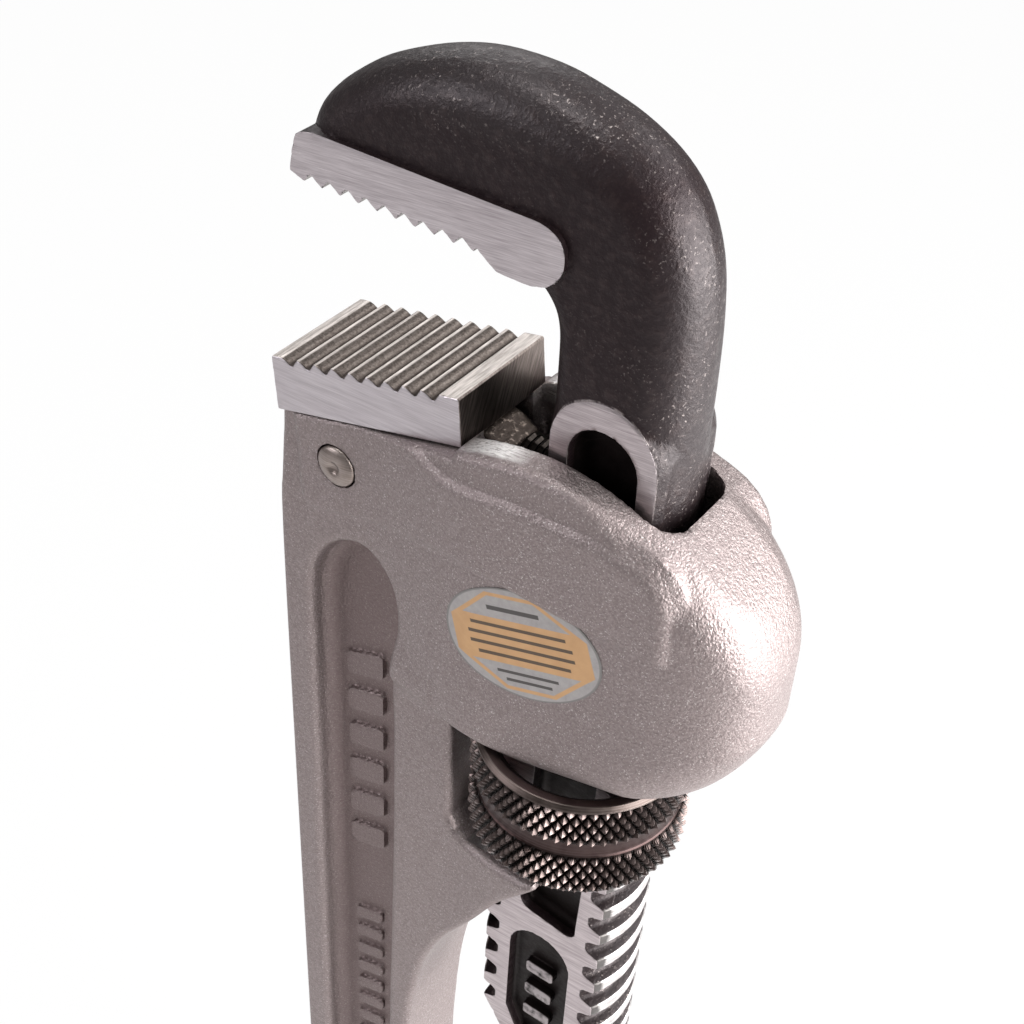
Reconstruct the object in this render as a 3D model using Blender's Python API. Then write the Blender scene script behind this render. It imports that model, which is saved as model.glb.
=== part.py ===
"""Straight pipe wrench with a cast aluminium handle and forged steel jaws.

Frame: +Z runs along the handle towards the head, +X points to the back of the hook jaw,
-X to the open side of the mouth, and Y is the thickness. The origin is the centre of a
pipe held between the two jaws. Lengths below are millimetres and are scaled to metres.
"""

import math

import bmesh
import bpy
from mathutils import Vector

MM = 0.001
GAP = 0.3                     # clearance between touching solids

# Handle and housing casting
FRONT_X = -18.0
HANDLE_HALF = 8.6             # half thickness of the I-beam flanges
WEB_HALF = 4.4                # half thickness of the web between them
HANDLE_REAR_X = 6.5
HANDLE_END_Z = -338.0
END_RADIUS = 13.2
HANG_CENTRE = (-5.4, -323.0)
HANG_RADIUS = 6.0
HOUSING_REAR_X = 62.4
HOUSING_BOTTOM_Z = -65.0
WINDOW_FRONT_X = 15.0
PANEL_RISE = 0.5              # how far the raised panel stands out
SLOT_HALF = 7.9               # half width of the slot that guides the shank
SLOT_REAR_X = 48.8
SLOT_FRONT_X = 18.3
TANG_HALF = 5.0

# Heel jaw
HEEL_HALF = 9.6
HEEL_FRONT = (-17.2, -16.5)
HEEL_LENGTH = 33.3
HEEL_TILT = math.radians(12.5)
HEEL_SEAT_TILT = math.radians(14.8)
HEEL_FRONT_DEPTH = 8.8
TOOTH_PITCH = 3.16
TOOTH_DEPTH = 1.0
HEEL_GROOVES = 9
FRONT_LAND = 1.85
PIN_CENTRE = (-5.6, -30.1)
PIN_RADIUS = 2.5
PIN_HEAD_RADIUS = 3.3

# Hook jaw
HOOK_HALF = 6.8               # forged body
FLAT_HALF = 7.2               # machined flats along the shank
PAD_HALF = 7.6                # machined sides of the tooth pad
HOOK_TOOTH_PITCH = 3.0
HOOK_TEETH = 10
TIP_Z = 11.6
FIRST_TIP_X = -11.6
SHANK_AXIS_X = 33.3
THREAD_PITCH = 6.35
CREST_RADIUS = 12.9
ROOT_RADIUS = 10.9
SCREW_START_Z = -166.0
SHANK_TOP_Z = -40.0
SHANK_END_Z = -149.0

# Label
LABEL_CENTRE = (29.4, -41.8)
LABEL_RADII = (13.3, 9.0)
LABEL_TILT = math.radians(18.4)

# Nut
NUT_RADIUS = 17.0
NUT_TOP_Z = -65.7
NUT_HEIGHT = 19.2
NUT_BORE = CREST_RADIUS + 0.3


def clear_scene():
    for item in list(bpy.data.objects):
        bpy.data.objects.remove(item, do_unlink=True)


def material(name, colour, roughness, metallic):
    made = bpy.data.materials.new(name)
    made.use_nodes = True
    shader = made.node_tree.nodes["Principled BSDF"]
    shader.inputs["Base Color"].default_value = (*colour, 1.0)
    shader.inputs["Roughness"].default_value = roughness
    shader.inputs["Metallic"].default_value = metallic
    return made


def object_from(name, verts, faces, origin=(0.0, 0.0, 0.0)):
    """Make an object from millimetre points, with its origin at a millimetre point."""
    mesh = bpy.data.meshes.new(name)
    centre = Vector(origin)
    mesh.from_pydata([(Vector(v) - centre) * MM for v in verts], [], faces)
    work = bmesh.new()
    work.from_mesh(mesh)
    bmesh.ops.recalc_face_normals(work, faces=work.faces)
    work.to_mesh(mesh)
    work.free()
    made = bpy.data.objects.new(name, mesh)
    made.location = centre * MM
    bpy.context.collection.objects.link(made)
    return made


def arc(cx, cz, radius, start, end, steps):
    """Points on an arc, angles in degrees."""
    points = []
    for i in range(steps + 1):
        a = math.radians(start + (end - start) * i / steps)
        points.append((cx + radius * math.cos(a), cz + radius * math.sin(a)))
    return points


def rounded(corners, steps=4):
    """Outline from (x, z, radius) corners, each rounded by its radius."""
    points = []
    count = len(corners)
    for i, (x, z, radius) in enumerate(corners):
        here = Vector((x, z))
        before = Vector(corners[i - 1][:2]) - here
        after = Vector(corners[(i + 1) % count][:2]) - here
        if radius <= 0.0:
            points.append((x, z))
            continue
        half = before.angle(after) / 2.0
        reach = min(radius / math.tan(half), 0.49 * before.length, 0.49 * after.length)
        if reach < 0.2:
            points.append((x, z))
            continue
        start = here + before.normalized() * reach
        end = here + after.normalized() * reach
        for k in range(steps + 1):
            t = k / steps
            mid = start * (1 - t) ** 2 + here * 2 * t * (1 - t) + end * t ** 2
            points.append((mid.x, mid.y))
    return points


def spline(points, steps):
    """Smooth curve through the points, ends included."""
    curve = []
    last = len(points) - 1
    for i in range(last):
        p = [Vector(points[min(max(i + k, 0), last)]) for k in (-1, 0, 1, 2)]
        for k in range(steps):
            t = k / steps
            a = p[1] * 2 + (p[2] - p[0]) * t
            b = (p[0] * 2 - p[1] * 5 + p[2] * 4 - p[3]) * t ** 2
            c = (p[1] * 3 - p[0] - p[2] * 3 + p[3]) * t ** 3
            point = (a + b + c) / 2
            curve.append((point.x, point.y))
    curve.append(tuple(points[-1]))
    return curve


def prism(name, outline, half, low=None, origin=(0.0, 0.0, 0.0)):
    """Extrude an XZ outline along Y, from low (default -half) to half."""
    low = -half if low is None else low
    count = len(outline)
    verts = [(x, low, z) for x, z in outline]
    verts += [(x, half, z) for x, z in outline]
    faces = [list(range(count)), list(range(2 * count - 1, count - 1, -1))]
    for i in range(count):
        j = (i + 1) % count
        faces.append([i, j, j + count, i + count])
    return object_from(name, verts, faces, origin)


def loft(name, rings, origin=(0.0, 0.0, 0.0)):
    """Closed solid through rings of equal length."""
    size = len(rings[0])
    verts = [point for ring in rings for point in ring]
    faces = [list(range(size)), list(range((len(rings) - 1) * size, len(rings) * size))]
    for i in range(len(rings) - 1):
        for j in range(size):
            k = (j + 1) % size
            faces.append([i * size + j, i * size + k, (i + 1) * size + k, (i + 1) * size + j])
    return object_from(name, verts, faces, origin)


def turned(name, profile, steps, axis, centre, origin=None):
    """Solid of revolution; profile is (radius, height), closed loops get a bore."""
    ring = len(profile)
    verts = []
    faces = []
    for i in range(steps):
        a = 2 * math.pi * i / steps
        for r, h in profile:
            if axis == "Z":
                verts.append((centre[0] + r * math.cos(a), centre[1] + r * math.sin(a), centre[2] + h))
            elif axis == "Y":
                verts.append((centre[0] + r * math.cos(a), centre[1] + h, centre[2] + r * math.sin(a)))
            else:
                verts.append((centre[0] + h, centre[1] + r * math.cos(a), centre[2] + r * math.sin(a)))
    for i in range(steps):
        j = (i + 1) % steps
        for k in range(ring):
            n = (k + 1) % ring
            if profile[k][0] > 0.0 or profile[n][0] > 0.0:
                faces.append([i * ring + k, i * ring + n, j * ring + n, j * ring + k])
    made = object_from(name, verts, faces, origin or (0.0, 0.0, 0.0))
    weld(made)
    return made


def weld(item):
    """Merge the points that a profile puts on its axis."""
    work = bmesh.new()
    work.from_mesh(item.data)
    bmesh.ops.remove_doubles(work, verts=work.verts, dist=1e-6)
    bmesh.ops.dissolve_degenerate(work, edges=work.edges, dist=1e-7)
    bmesh.ops.recalc_face_normals(work, faces=work.faces)
    work.to_mesh(item.data)
    work.free()


def combine(target, tool, operation):
    """Boolean with a hidden tool object."""
    tool.hide_render = True
    tool.display_type = "WIRE"
    step = target.modifiers.new(tool.name, "BOOLEAN")
    step.operation = operation
    step.solver = "EXACT"
    step.object = tool


def soften(item, width, segments, angle=40.0):
    step = item.modifiers.new("Edges", "BEVEL")
    step.width = width * MM
    step.segments = segments
    step.limit_method = "ANGLE"
    step.angle_limit = math.radians(angle)


def smooth(item, angle=35.0):
    item.data.shade_smooth()
    item.data.set_sharp_from_angle(angle=math.radians(angle))


def blend(value, low, high):
    """Smooth step from 0 at low to 1 at high."""
    t = min(max((value - low) / (high - low), 0.0), 1.0)
    return t * t * (3 - 2 * t)


# ---------------------------------------------------------------- housing casting

def housing_half(x):
    """Half thickness of the housing at x: slim over the heel jaw, full round the shank."""
    full = 8.65 + 4.15 * blend(x, 0.0, 24.0)
    start = 34.0
    if x <= start:
        return full
    t = min((x - start) / (HOUSING_REAR_X - start), 1.0)
    return full * max(1.0 - t ** 2.6, 0.0) ** 0.5


def housing_top(x):
    """Height of the housing's crown at x."""
    if x < 30.0:
        return -12.9 - 2.9 * (min(30.0 - x, 14.0) / 14.0) ** 2
    return -12.9 - 18.0 * ((x - 30.0) / (HOUSING_REAR_X - 30.0)) ** 2.4


def housing_bottom(x):
    return HOUSING_BOTTOM_Z + 12.0 * blend(x, 48.0, 68.0)


def housing_ring(x, extra=0.0):
    """Cross-section at x: a rectangle with rounded shoulders and a rounded lower edge."""
    half = max(housing_half(x), 2.0) + extra
    top = housing_top(x) + extra
    bottom = housing_bottom(x) - extra
    shoulder = min(3.6, 0.9 * half)
    hem = min(3.0, 0.8 * half)
    corners = [(half, bottom, hem), (half, top, shoulder), (-half, top, shoulder), (-half, bottom, hem)]
    lean = max(1.0 - (x - FRONT_X) / 20.0, 0.0)
    return [(x + lean * blend(z, -65.0, -20.0) * 2.0, y, z) for y, z in rounded(corners, 4)]


def housing_stations(first):
    turn = 34.0
    stations = [first + (turn - first) * i / 9 for i in range(9)]
    stations += [turn + (HOUSING_REAR_X - turn) * math.sin(math.pi / 2 * i / 9) for i in range(10)]
    return stations


def handle_outline():
    """Side view of the I-beam handle, its shelf below the window and the hanging end."""
    end_x = HANG_CENTRE[0]
    end_z = HANDLE_END_Z + END_RADIUS
    corners = [
        (FRONT_X + 0.5, -52.0, 0.0),
        (WINDOW_FRONT_X, -52.0, 0.0),
        (WINDOW_FRONT_X, -93.2, 3.0),
        (22.0, -94.2, 1.5),
        (33.6, -93.6, 1.5),
        (28.5, -105.5, 14.0),
        (13.5, -124.0, 30.0),
        (HANDLE_REAR_X + 0.6, -152.0, 30.0),
        (HANDLE_REAR_X - 1.5, -250.0, 60.0),
        (end_x + END_RADIUS, -300.0, 40.0),
    ]
    outline = rounded(corners, 4)
    outline += arc(end_x, end_z, END_RADIUS, 0.0, -180.0, 14)
    return outline + [(FRONT_X - 0.4, -296.0), (FRONT_X, -70.0)]


def recess_outline():
    """The hollow between the flanges, round at both ends."""
    front = FRONT_X + 5.7
    rear = 2.7
    middle = (front + rear) / 2
    radius = (rear - front) / 2
    top = -45.0 - radius
    upper = arc(middle + 0.6, top, radius + 0.6, 0.0, 180.0, 8)
    lower = arc(middle - 0.4, -288.0, radius - 0.8, 180.0, 360.0, 8)
    return upper + lower


def panel_outline():
    """The raised panel that runs from the heel jaw's pin to the back of the housing."""
    return rounded([
        (-12.2, -40.2, 1.5),
        (17.0, -31.0, 7.0),
        (51.2, -32.2, 0.4),
        (50.6, -19.6, 9.0),
        (24.0, -20.4, 20.0),
        (-13.0, -28.6, 1.0),
    ], 5)


def heel_seat_outline(clear):
    """Everything above the seat of the heel jaw, up to the jaw's rear face."""
    slope = math.tan(HEEL_SEAT_TILT)
    front_x, front_z = heel_bottom_front()
    rear = heel_bottom_rear()
    low = front_z - clear
    return [
        (front_x - 6.0, low - 6.0 * slope),
        (rear[0] + clear, low + (rear[0] + clear - front_x) * slope),
        (rear[0] + clear, 10.0),
        (front_x - 6.0, 10.0),
    ]


def shelf_ring(x):
    """Cross-section of the shelf below the window, which thickens towards its tip."""
    half = HANDLE_HALF - 0.3 + 2.6 * blend(x, 10.0, 32.0)
    top = -93.8 - 0.3 * blend(x, 14.0, 20.0)
    bottom = -127.0 + 32.0 * blend(x, 6.0, 38.0)
    corners = [(half, bottom, 1.5), (half, top, 1.2), (-half, top, 1.2), (-half, bottom, 1.5)]
    return [(x, y, z) for y, z in rounded(corners, 3)]


def slot_cutter():
    """The guide slot for the shank: square at the front, round at the back."""
    rear = SLOT_REAR_X - SLOT_HALF * 0.7
    outline = [(SLOT_FRONT_X, -SLOT_HALF), (rear, -SLOT_HALF)]
    for i in range(1, 8):
        a = math.radians(-90.0 + 180.0 * i / 8)
        outline.append((rear + SLOT_HALF * 0.7 * math.cos(a), SLOT_HALF * math.sin(a)))
    outline += [(rear, SLOT_HALF), (SLOT_FRONT_X, SLOT_HALF)]
    rings = [[(x, y, z) for x, y in outline] for z in (-130.0, 20.0)]
    return loft("cut_slot", rings)


def tang_cutter():
    grow = GAP
    outline = [
        (-13.2 - grow, -20.0),
        (-13.2 - grow, -41.5 - grow),
        (2.0, -41.5 - grow),
        (SLOT_FRONT_X + 1.0, -30.0 - grow),
        (SLOT_FRONT_X + 1.0, 5.0),
        (-13.2 - grow, 5.0),
    ]
    return prism("cut_tang", outline, TANG_HALF + grow)


def make_housing():
    body = prism("handle_housing", handle_outline(), HANDLE_HALF)
    soften(body, 1.6, 3)
    block = loft("add_housing", [housing_ring(x) for x in housing_stations(FRONT_X + 0.2)])
    combine(body, block, "UNION")
    combine(body, loft("add_shelf", [shelf_ring(x) for x in (5.0, 9.0, 13.0, 17.0, 21.0, 25.0, 29.0, 33.0)]),
            "UNION")
    panel = loft("add_panel", [housing_ring(x, PANEL_RISE) for x in housing_stations(FRONT_X + 0.4)])
    trim = prism("keep_panel", panel_outline(), 20.0)
    combine(panel, trim, "INTERSECT")
    combine(body, panel, "UNION")
    for side in (-1, 1):
        low, high = sorted((side * WEB_HALF, side * 12.0))
        web = prism("cut_web_%d" % (side + 1), recess_outline(), high, low)
        combine(body, web, "DIFFERENCE")
    combine(body, slot_cutter(), "DIFFERENCE")
    combine(body, tang_cutter(), "DIFFERENCE")
    combine(body, prism("cut_seat", heel_seat_outline(GAP), 20.0), "DIFFERENCE")
    px, pz = PIN_CENTRE
    bore = turned("cut_pin", [(0.0, -20.0), (PIN_RADIUS + GAP, -20.0), (PIN_RADIUS + GAP, 20.0), (0.0, 20.0)],
                  20, "Y", (px, 0.0, pz))
    combine(body, bore, "DIFFERENCE")
    hx, hz = HANG_CENTRE
    hang = turned("cut_hang", [(0.0, -20.0), (HANG_RADIUS, -20.0), (HANG_RADIUS, 20.0), (0.0, 20.0)],
                  24, "Y", (hx, 0.0, hz))
    combine(body, hang, "DIFFERENCE")
    combine(body, rivet_bore(), "DIFFERENCE")
    body.data.materials.append(material("cast_aluminium", (0.50, 0.49, 0.48), 0.48, 0.9))
    smooth(body)


# ---------------------------------------------------------------- heel jaw

def heel_point(along, up):
    """Point in the XZ plane, measured along and above the toothed face."""
    c, s = math.cos(HEEL_TILT), math.sin(HEEL_TILT)
    return (HEEL_FRONT[0] + along * c - up * s, HEEL_FRONT[1] + along * s + up * c)


def heel_bottom_front():
    return (HEEL_FRONT[0] + 0.8, HEEL_FRONT[1] - HEEL_FRONT_DEPTH)


def heel_bottom_rear():
    front = heel_bottom_front()
    length = 32.5
    return (front[0] + length, front[1] + length * math.tan(HEEL_SEAT_TILT))


def heel_outline():
    """Side view: seat, front face, grooved top and rear face."""
    outline = [heel_bottom_rear(), heel_bottom_front(), heel_point(0.0, 0.0)]
    for k in range(HEEL_GROOVES):
        start = FRONT_LAND + k * TOOTH_PITCH
        outline.append(heel_point(start, 0.0))
        outline.append(heel_point(start + 0.42 * TOOTH_PITCH, -0.92 * TOOTH_DEPTH))
        outline.append(heel_point(start + 0.52 * TOOTH_PITCH, -TOOTH_DEPTH))
        outline.append(heel_point(start + 0.64 * TOOTH_PITCH, -0.92 * TOOTH_DEPTH))
        outline.append(heel_point(start + 0.90 * TOOTH_PITCH, 0.0))
    outline.append(heel_point(HEEL_LENGTH, 0.0))
    return outline


def make_heel_jaw():
    jaw = prism("heel_jaw", heel_outline(), HEEL_HALF)
    tang = prism("add_tang", [
        (-13.2, -23.0),
        (-13.2, -41.5),
        (2.0, -41.5),
        (SLOT_FRONT_X + 0.7, -30.0),
        (SLOT_FRONT_X + 0.7, -18.0),
        (14.5, -17.2),
    ], TANG_HALF)
    combine(jaw, tang, "UNION")
    px, pz = PIN_CENTRE
    hole = turned("cut_heel_pin", [(0.0, -9.0), (PIN_RADIUS + GAP, -9.0), (PIN_RADIUS + GAP, 9.0), (0.0, 9.0)],
                  20, "Y", (px, 0.0, pz))
    combine(jaw, hole, "DIFFERENCE")
    jaw.data.materials.append(material("heel_jaw_steel", (0.36, 0.34, 0.33), 0.36, 1.0))


def make_heel_pin():
    """Plain pin with a low dome and a small centre dimple on each end."""
    face = housing_half(PIN_CENTRE[0]) + PANEL_RISE + GAP
    dome = [(PIN_HEAD_RADIUS, face), (PIN_HEAD_RADIUS, face + 0.35), (2.6, face + 0.9), (1.4, face + 1.15),
            (0.6, face + 1.05), (0.0, face + 0.95)]
    upper = [(PIN_RADIUS, face)] + dome
    profile = upper + [(r, -h) for r, h in reversed(upper)]
    pin = turned("heel_jaw_pin", profile, 24, "Y", (PIN_CENTRE[0], 0.0, PIN_CENTRE[1]))
    pin.data.materials.append(material("pin_steel", (0.30, 0.27, 0.25), 0.30, 1.0))
    smooth(pin)


# ---------------------------------------------------------------- hook jaw

def hook_rings():
    """Sections of the forging, from the nose round to the top of the threads."""
    inner = spline([
        (-12.6, 15.6), (-11.0, 14.4), (-2.0, 13.6), (10.0, 12.6), (20.0, 10.8),
        (26.0, 8.8), (27.8, 3.0), (27.6, -12.0), (26.8, SHANK_TOP_Z - 6.0),
    ], 3)
    outer = spline([
        (-13.4, 18.2), (-11.2, 22.2), (-1.2, 29.5), (11.7, 33.5), (26.5, 32.7),
        (40.0, 26.0), (44.9, 13.0), (45.4, -12.0), (45.2, SHANK_TOP_Z - 6.0),
    ], 3)
    rings = []
    for (ax, az), (bx, bz) in zip(inner, outer):
        width = math.hypot(bx - ax, bz - az)
        corners = [(0.0, -HOOK_HALF, 2.6), (width, -HOOK_HALF, 6.6), (width, HOOK_HALF, 6.6), (0.0, HOOK_HALF, 2.6)]
        section = rounded(corners, 5)
        rings.append([(ax + (bx - ax) * w / width, y, az + (bz - az) * w / width) for w, y in section])
    return rings


def pad_outline():
    """Side view of the machined tooth pad, with the relief behind the last tooth."""
    outline = [(-13.7, 12.3)]
    for k in range(HOOK_TEETH):
        tip = FIRST_TIP_X + k * HOOK_TOOTH_PITCH
        outline.append((tip, TIP_Z))
        if k < HOOK_TEETH - 1:
            outline.append((tip + 0.85, TIP_Z + 1.15))
            outline.append((tip + 1.35, TIP_Z + 1.2))
    last = FIRST_TIP_X + (HOOK_TEETH - 1) * HOOK_TOOTH_PITCH
    outline += [(last + 0.3, TIP_Z + 0.35), (last + 1.2, TIP_Z + 0.1), (last + 3.7, TIP_Z - 1.5)]
    outline += [(21.8, 9.9), (24.4, 10.1)]
    outline += arc(24.3, 14.4, 4.3, -80.0, 80.0, 8)
    outline += [(-9.9, 18.8), (-12.0, 18.2), (-13.0, 17.2), (-13.6, 15.0)]
    return outline


def arch_outline(low):
    """The machined flat that runs down the shank from a round top."""
    left, right = 28.0, 44.2
    middle = (left + right) / 2
    radius = (right - left) / 2
    return [(left, low)] + arc(middle, -10.6, radius, 180.0, 0.0, 12) + [(right, low)]


def pocket_outline(low):
    """The long hollow inside the flat, round at the top and square at the bottom."""
    return [(29.4, low)] + arc(35.4, -11.4, 4.9, 180.0, 0.0, 10) + [(39.3, low)]


def pill_outline():
    centre = 33.0
    radius = 5.5
    return arc(centre, -115.5, radius, 0.0, 180.0, 8) + arc(centre, -136.0, radius, 180.0, 360.0, 8)


def screw_radius(phase):
    """Shank radius over one pitch, phase 0 to 1: flat crest, steep flanks, narrow root."""
    points = [(0.0, CREST_RADIUS), (0.40, CREST_RADIUS), (0.56, ROOT_RADIUS), (0.88, ROOT_RADIUS)]
    return points[phase][1], points[phase][0]


def threaded_rod(name, radius_at, low, turns, steps):
    """Right-hand helical rod made of one strip of profile points per step."""
    per_turn = 4
    rows = turns * per_turn + 1
    verts = []
    for j in range(rows):
        radius, offset = radius_at(j % per_turn)
        for i in range(steps):
            a = 2 * math.pi * i / steps
            z = low + THREAD_PITCH * (j // per_turn + offset + i / steps)
            verts.append((SHANK_AXIS_X + radius * math.cos(a), radius * math.sin(a), z))
    faces = []
    for j in range(rows - 1):
        for i in range(steps - 1):
            a = j * steps + i
            faces.append([a, a + 1, a + 1 + steps, a + steps])
        if j + 1 + per_turn < rows:
            last = j * steps + steps - 1
            first = (j + per_turn) * steps
            faces.append([last, first, first + steps, last + steps])
    bottom = len(verts)
    verts.append((SHANK_AXIS_X, 0.0, low - 2.0))
    top = len(verts)
    verts.append((SHANK_AXIS_X, 0.0, low + THREAD_PITCH * (turns + 2)))
    loop = list(range(steps)) + [j * steps for j in range(per_turn, 0, -1)]
    for i, v in enumerate(loop):
        faces.append([loop[(i + 1) % len(loop)], v, bottom])
    end = rows - 1
    loop = [end * steps + i for i in range(steps)]
    loop += [(end - k) * steps + steps - 1 for k in range(1, per_turn + 1)]
    for i, v in enumerate(loop):
        faces.append([v, loop[(i + 1) % len(loop)], top])
    return object_from(name, verts, faces)


def make_hook_jaw():
    axis = (SHANK_AXIS_X, 0.0, NUT_TOP_Z)
    jaw = loft("hook_jaw", hook_rings(), axis)
    turns = int((SHANK_TOP_Z - SHANK_END_Z) / THREAD_PITCH) + 4
    rod = threaded_rod("add_screw", screw_radius, SCREW_START_Z, turns, 28)
    trim = prism("keep_screw", rounded([
        (SHANK_AXIS_X - 20.0, SHANK_TOP_Z, 0.0),
        (SHANK_AXIS_X - 20.0, -118.0, 0.0),
        (SHANK_AXIS_X - 12.0, -133.5, 3.0),
        (SHANK_AXIS_X - 4.0, SHANK_END_Z, 1.0),
        (SHANK_AXIS_X + 9.0, SHANK_END_Z, 2.0),
        (SHANK_AXIS_X + 20.0, -140.0, 0.0),
        (SHANK_AXIS_X + 20.0, SHANK_TOP_Z, 0.0),
    ], 3), FLAT_HALF)
    combine(rod, trim, "INTERSECT")
    combine(jaw, rod, "UNION")
    pad = prism("add_pad", pad_outline(), PAD_HALF)
    combine(jaw, pad, "UNION")
    flat = prism("add_flat", arch_outline(SHANK_TOP_Z - 3.0), FLAT_HALF + 0.02)
    combine(jaw, flat, "UNION")
    for side in (-1, 1):
        low, high = sorted((side * (FLAT_HALF - 2.2), side * 12.0))
        pocket = prism("cut_pocket_%d" % (side + 1), pocket_outline(-104.8), high, low)
        combine(jaw, pocket, "DIFFERENCE")
        pill = prism("cut_pill_%d" % (side + 1), pill_outline(), high, low)
        combine(jaw, pill, "DIFFERENCE")
    jaw.data.materials.append(material("forged_black", (0.022, 0.019, 0.020), 0.42, 0.85))
    smooth(jaw)


# ---------------------------------------------------------------- nut

def make_nut():
    """Two gripping bands with a smooth groove between them, and a chamfer at each end."""
    r = NUT_RADIUS
    h = NUT_HEIGHT
    profile = [
        (NUT_BORE, -h + 1.2), (NUT_BORE + 1.2, -h), (r - 1.6, -h), (r - 0.3, -h + 1.0),
        (r, -h + 1.4), (r, -11.4), (r - 1.0, -10.9), (r - 1.3, -10.4), (r - 1.3, -8.6), (r - 1.0, -8.1),
        (r, -7.6), (r, -0.9), (r - 0.6, 0.0), (NUT_BORE + 1.2, 0.0), (NUT_BORE, -1.2),
    ]
    centre = (SHANK_AXIS_X, 0.0, NUT_TOP_Z)
    nut = turned("nut", profile, 56, "Z", centre, centre)
    nut.data.materials.append(material("nut_steel", (0.10, 0.075, 0.065), 0.42, 1.0))
    smooth(nut)


# ---------------------------------------------------------------- springs and label

def coil_path(i, steps, turns, start_x, end_x, radius, z):
    a = 2 * math.pi * turns * i / steps
    x = start_x + (end_x - start_x) * i / steps
    return Vector((x, radius * math.cos(a), z + radius * math.sin(a)))


def make_coil_spring():
    """Compression spring between the heel jaw's tang and the front of the shank."""
    wire = 0.55
    radius = 3.4
    turns = 4.5
    steps = 63
    sides = 6
    start_x, end_x = SLOT_FRONT_X + 1.9, 25.4
    rings = []
    for i in range(steps + 1):
        here = coil_path(i, steps, turns, start_x, end_x, radius, -22.0)
        ahead = coil_path(i + 0.5, steps, turns, start_x, end_x, radius, -22.0)
        behind = coil_path(i - 0.5, steps, turns, start_x, end_x, radius, -22.0)
        along = (ahead - behind).normalized()
        out = Vector((0.0, here.y, here.z + 22.0)).normalized()
        side = along.cross(out).normalized()
        out = side.cross(along)
        ring = []
        for k in range(sides):
            a = 2 * math.pi * k / sides
            ring.append(here + wire * (math.cos(a) * out + math.sin(a) * side))
        rings.append([tuple(p) for p in ring])
    spring = loft("coil_spring", rings)
    spring.data.materials.append(material("spring_steel", (0.45, 0.43, 0.41), 0.30, 1.0))
    smooth(spring, 70.0)


def leaf_x(z):
    """Front face of the leaf spring: bowed towards the shank, held at its lower end."""
    t = (z + 57.0) / 32.0
    return 47.5 - 0.9 * math.sin(math.pi * min(max(t, 0.0), 1.0))


def make_flat_spring():
    """Leaf spring between the back of the shank and the rear wall of the slot."""
    half = 3.0
    thick = 0.6
    heights = [-61.5 + 37.0 * i / 14 for i in range(15)]
    rings = []
    for z in heights:
        x = leaf_x(z)
        rings.append([(x, -half, z), (x + thick, -half, z), (x + thick, half, z), (x, half, z)])
    leaf = loft("flat_spring", rings)
    hole = turned("cut_leaf", [(0.0, -3.0), (1.3, -3.0), (1.3, 3.0), (0.0, 3.0)], 12, "X", (47.8, 0.0, -59.0))
    combine(leaf, hole, "DIFFERENCE")
    leaf.data.materials.append(material("leaf_steel", (0.16, 0.17, 0.20), 0.34, 1.0))


def rivet_bore():
    return turned("cut_rivet", [(0.0, -1.0), (1.3, -1.0), (1.3, 6.3), (0.0, 6.3)], 12, "X", (48.5, 0.0, -59.0))


def make_rivet():
    """Small rivet that pins the leaf spring to the rear wall."""
    profile = [(0.0, -0.6), (1.3, -0.6), (1.9, -0.3), (1.9, 0.0), (1.0, 0.0), (1.0, 5.6), (0.0, 5.6)]
    rivet = turned("spring_rivet", profile, 12, "X", (leaf_x(-59.0) - GAP, 0.0, -59.0))
    rivet.data.materials.append(material("rivet_steel", (0.42, 0.41, 0.40), 0.34, 1.0))


def make_label():
    """Oval label on the side of the housing, bent to follow it."""
    centre_x, centre_z = LABEL_CENTRE
    c, s = math.cos(LABEL_TILT), math.sin(LABEL_TILT)
    major, minor = LABEL_RADII
    reach = math.hypot(major * c, minor * s)
    rings = []
    for i in range(17):
        a = math.pi * (i / 16 * 0.94 + 0.03)
        offset = -reach * math.cos(a)
        x = centre_x + offset
        middle = centre_z + offset * (major ** 2 - minor ** 2) * s * c / reach ** 2
        rise = major * minor / reach * math.sin(a)
        inner = -housing_half(x) - GAP
        outer = inner - 0.2
        rings.append([(x, inner, middle - rise), (x, outer, middle - rise),
                      (x, outer, middle + rise), (x, inner, middle + rise)])
    label = loft("label", rings)
    label.data.materials.append(material("label_film", (0.62, 0.47, 0.28), 0.4, 0.0))


def main():
    clear_scene()
    make_housing()
    make_heel_jaw()
    make_heel_pin()
    make_hook_jaw()
    make_nut()
    make_coil_spring()
    make_flat_spring()
    make_rivet()
    make_label()


main()
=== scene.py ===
"""Looks of a straight pipe wrench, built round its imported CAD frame.

The cast and forged pieces are signed distances in millimetres, negative inside, meshed by dual
contouring, which keeps machined edges crisp and cast edges round. +Z runs up the handle to the
head, +X to the back of the hook jaw, and -Y is the side with the label.
"""

import math

import bpy
import numpy as np
from mathutils import Matrix, Vector

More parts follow.
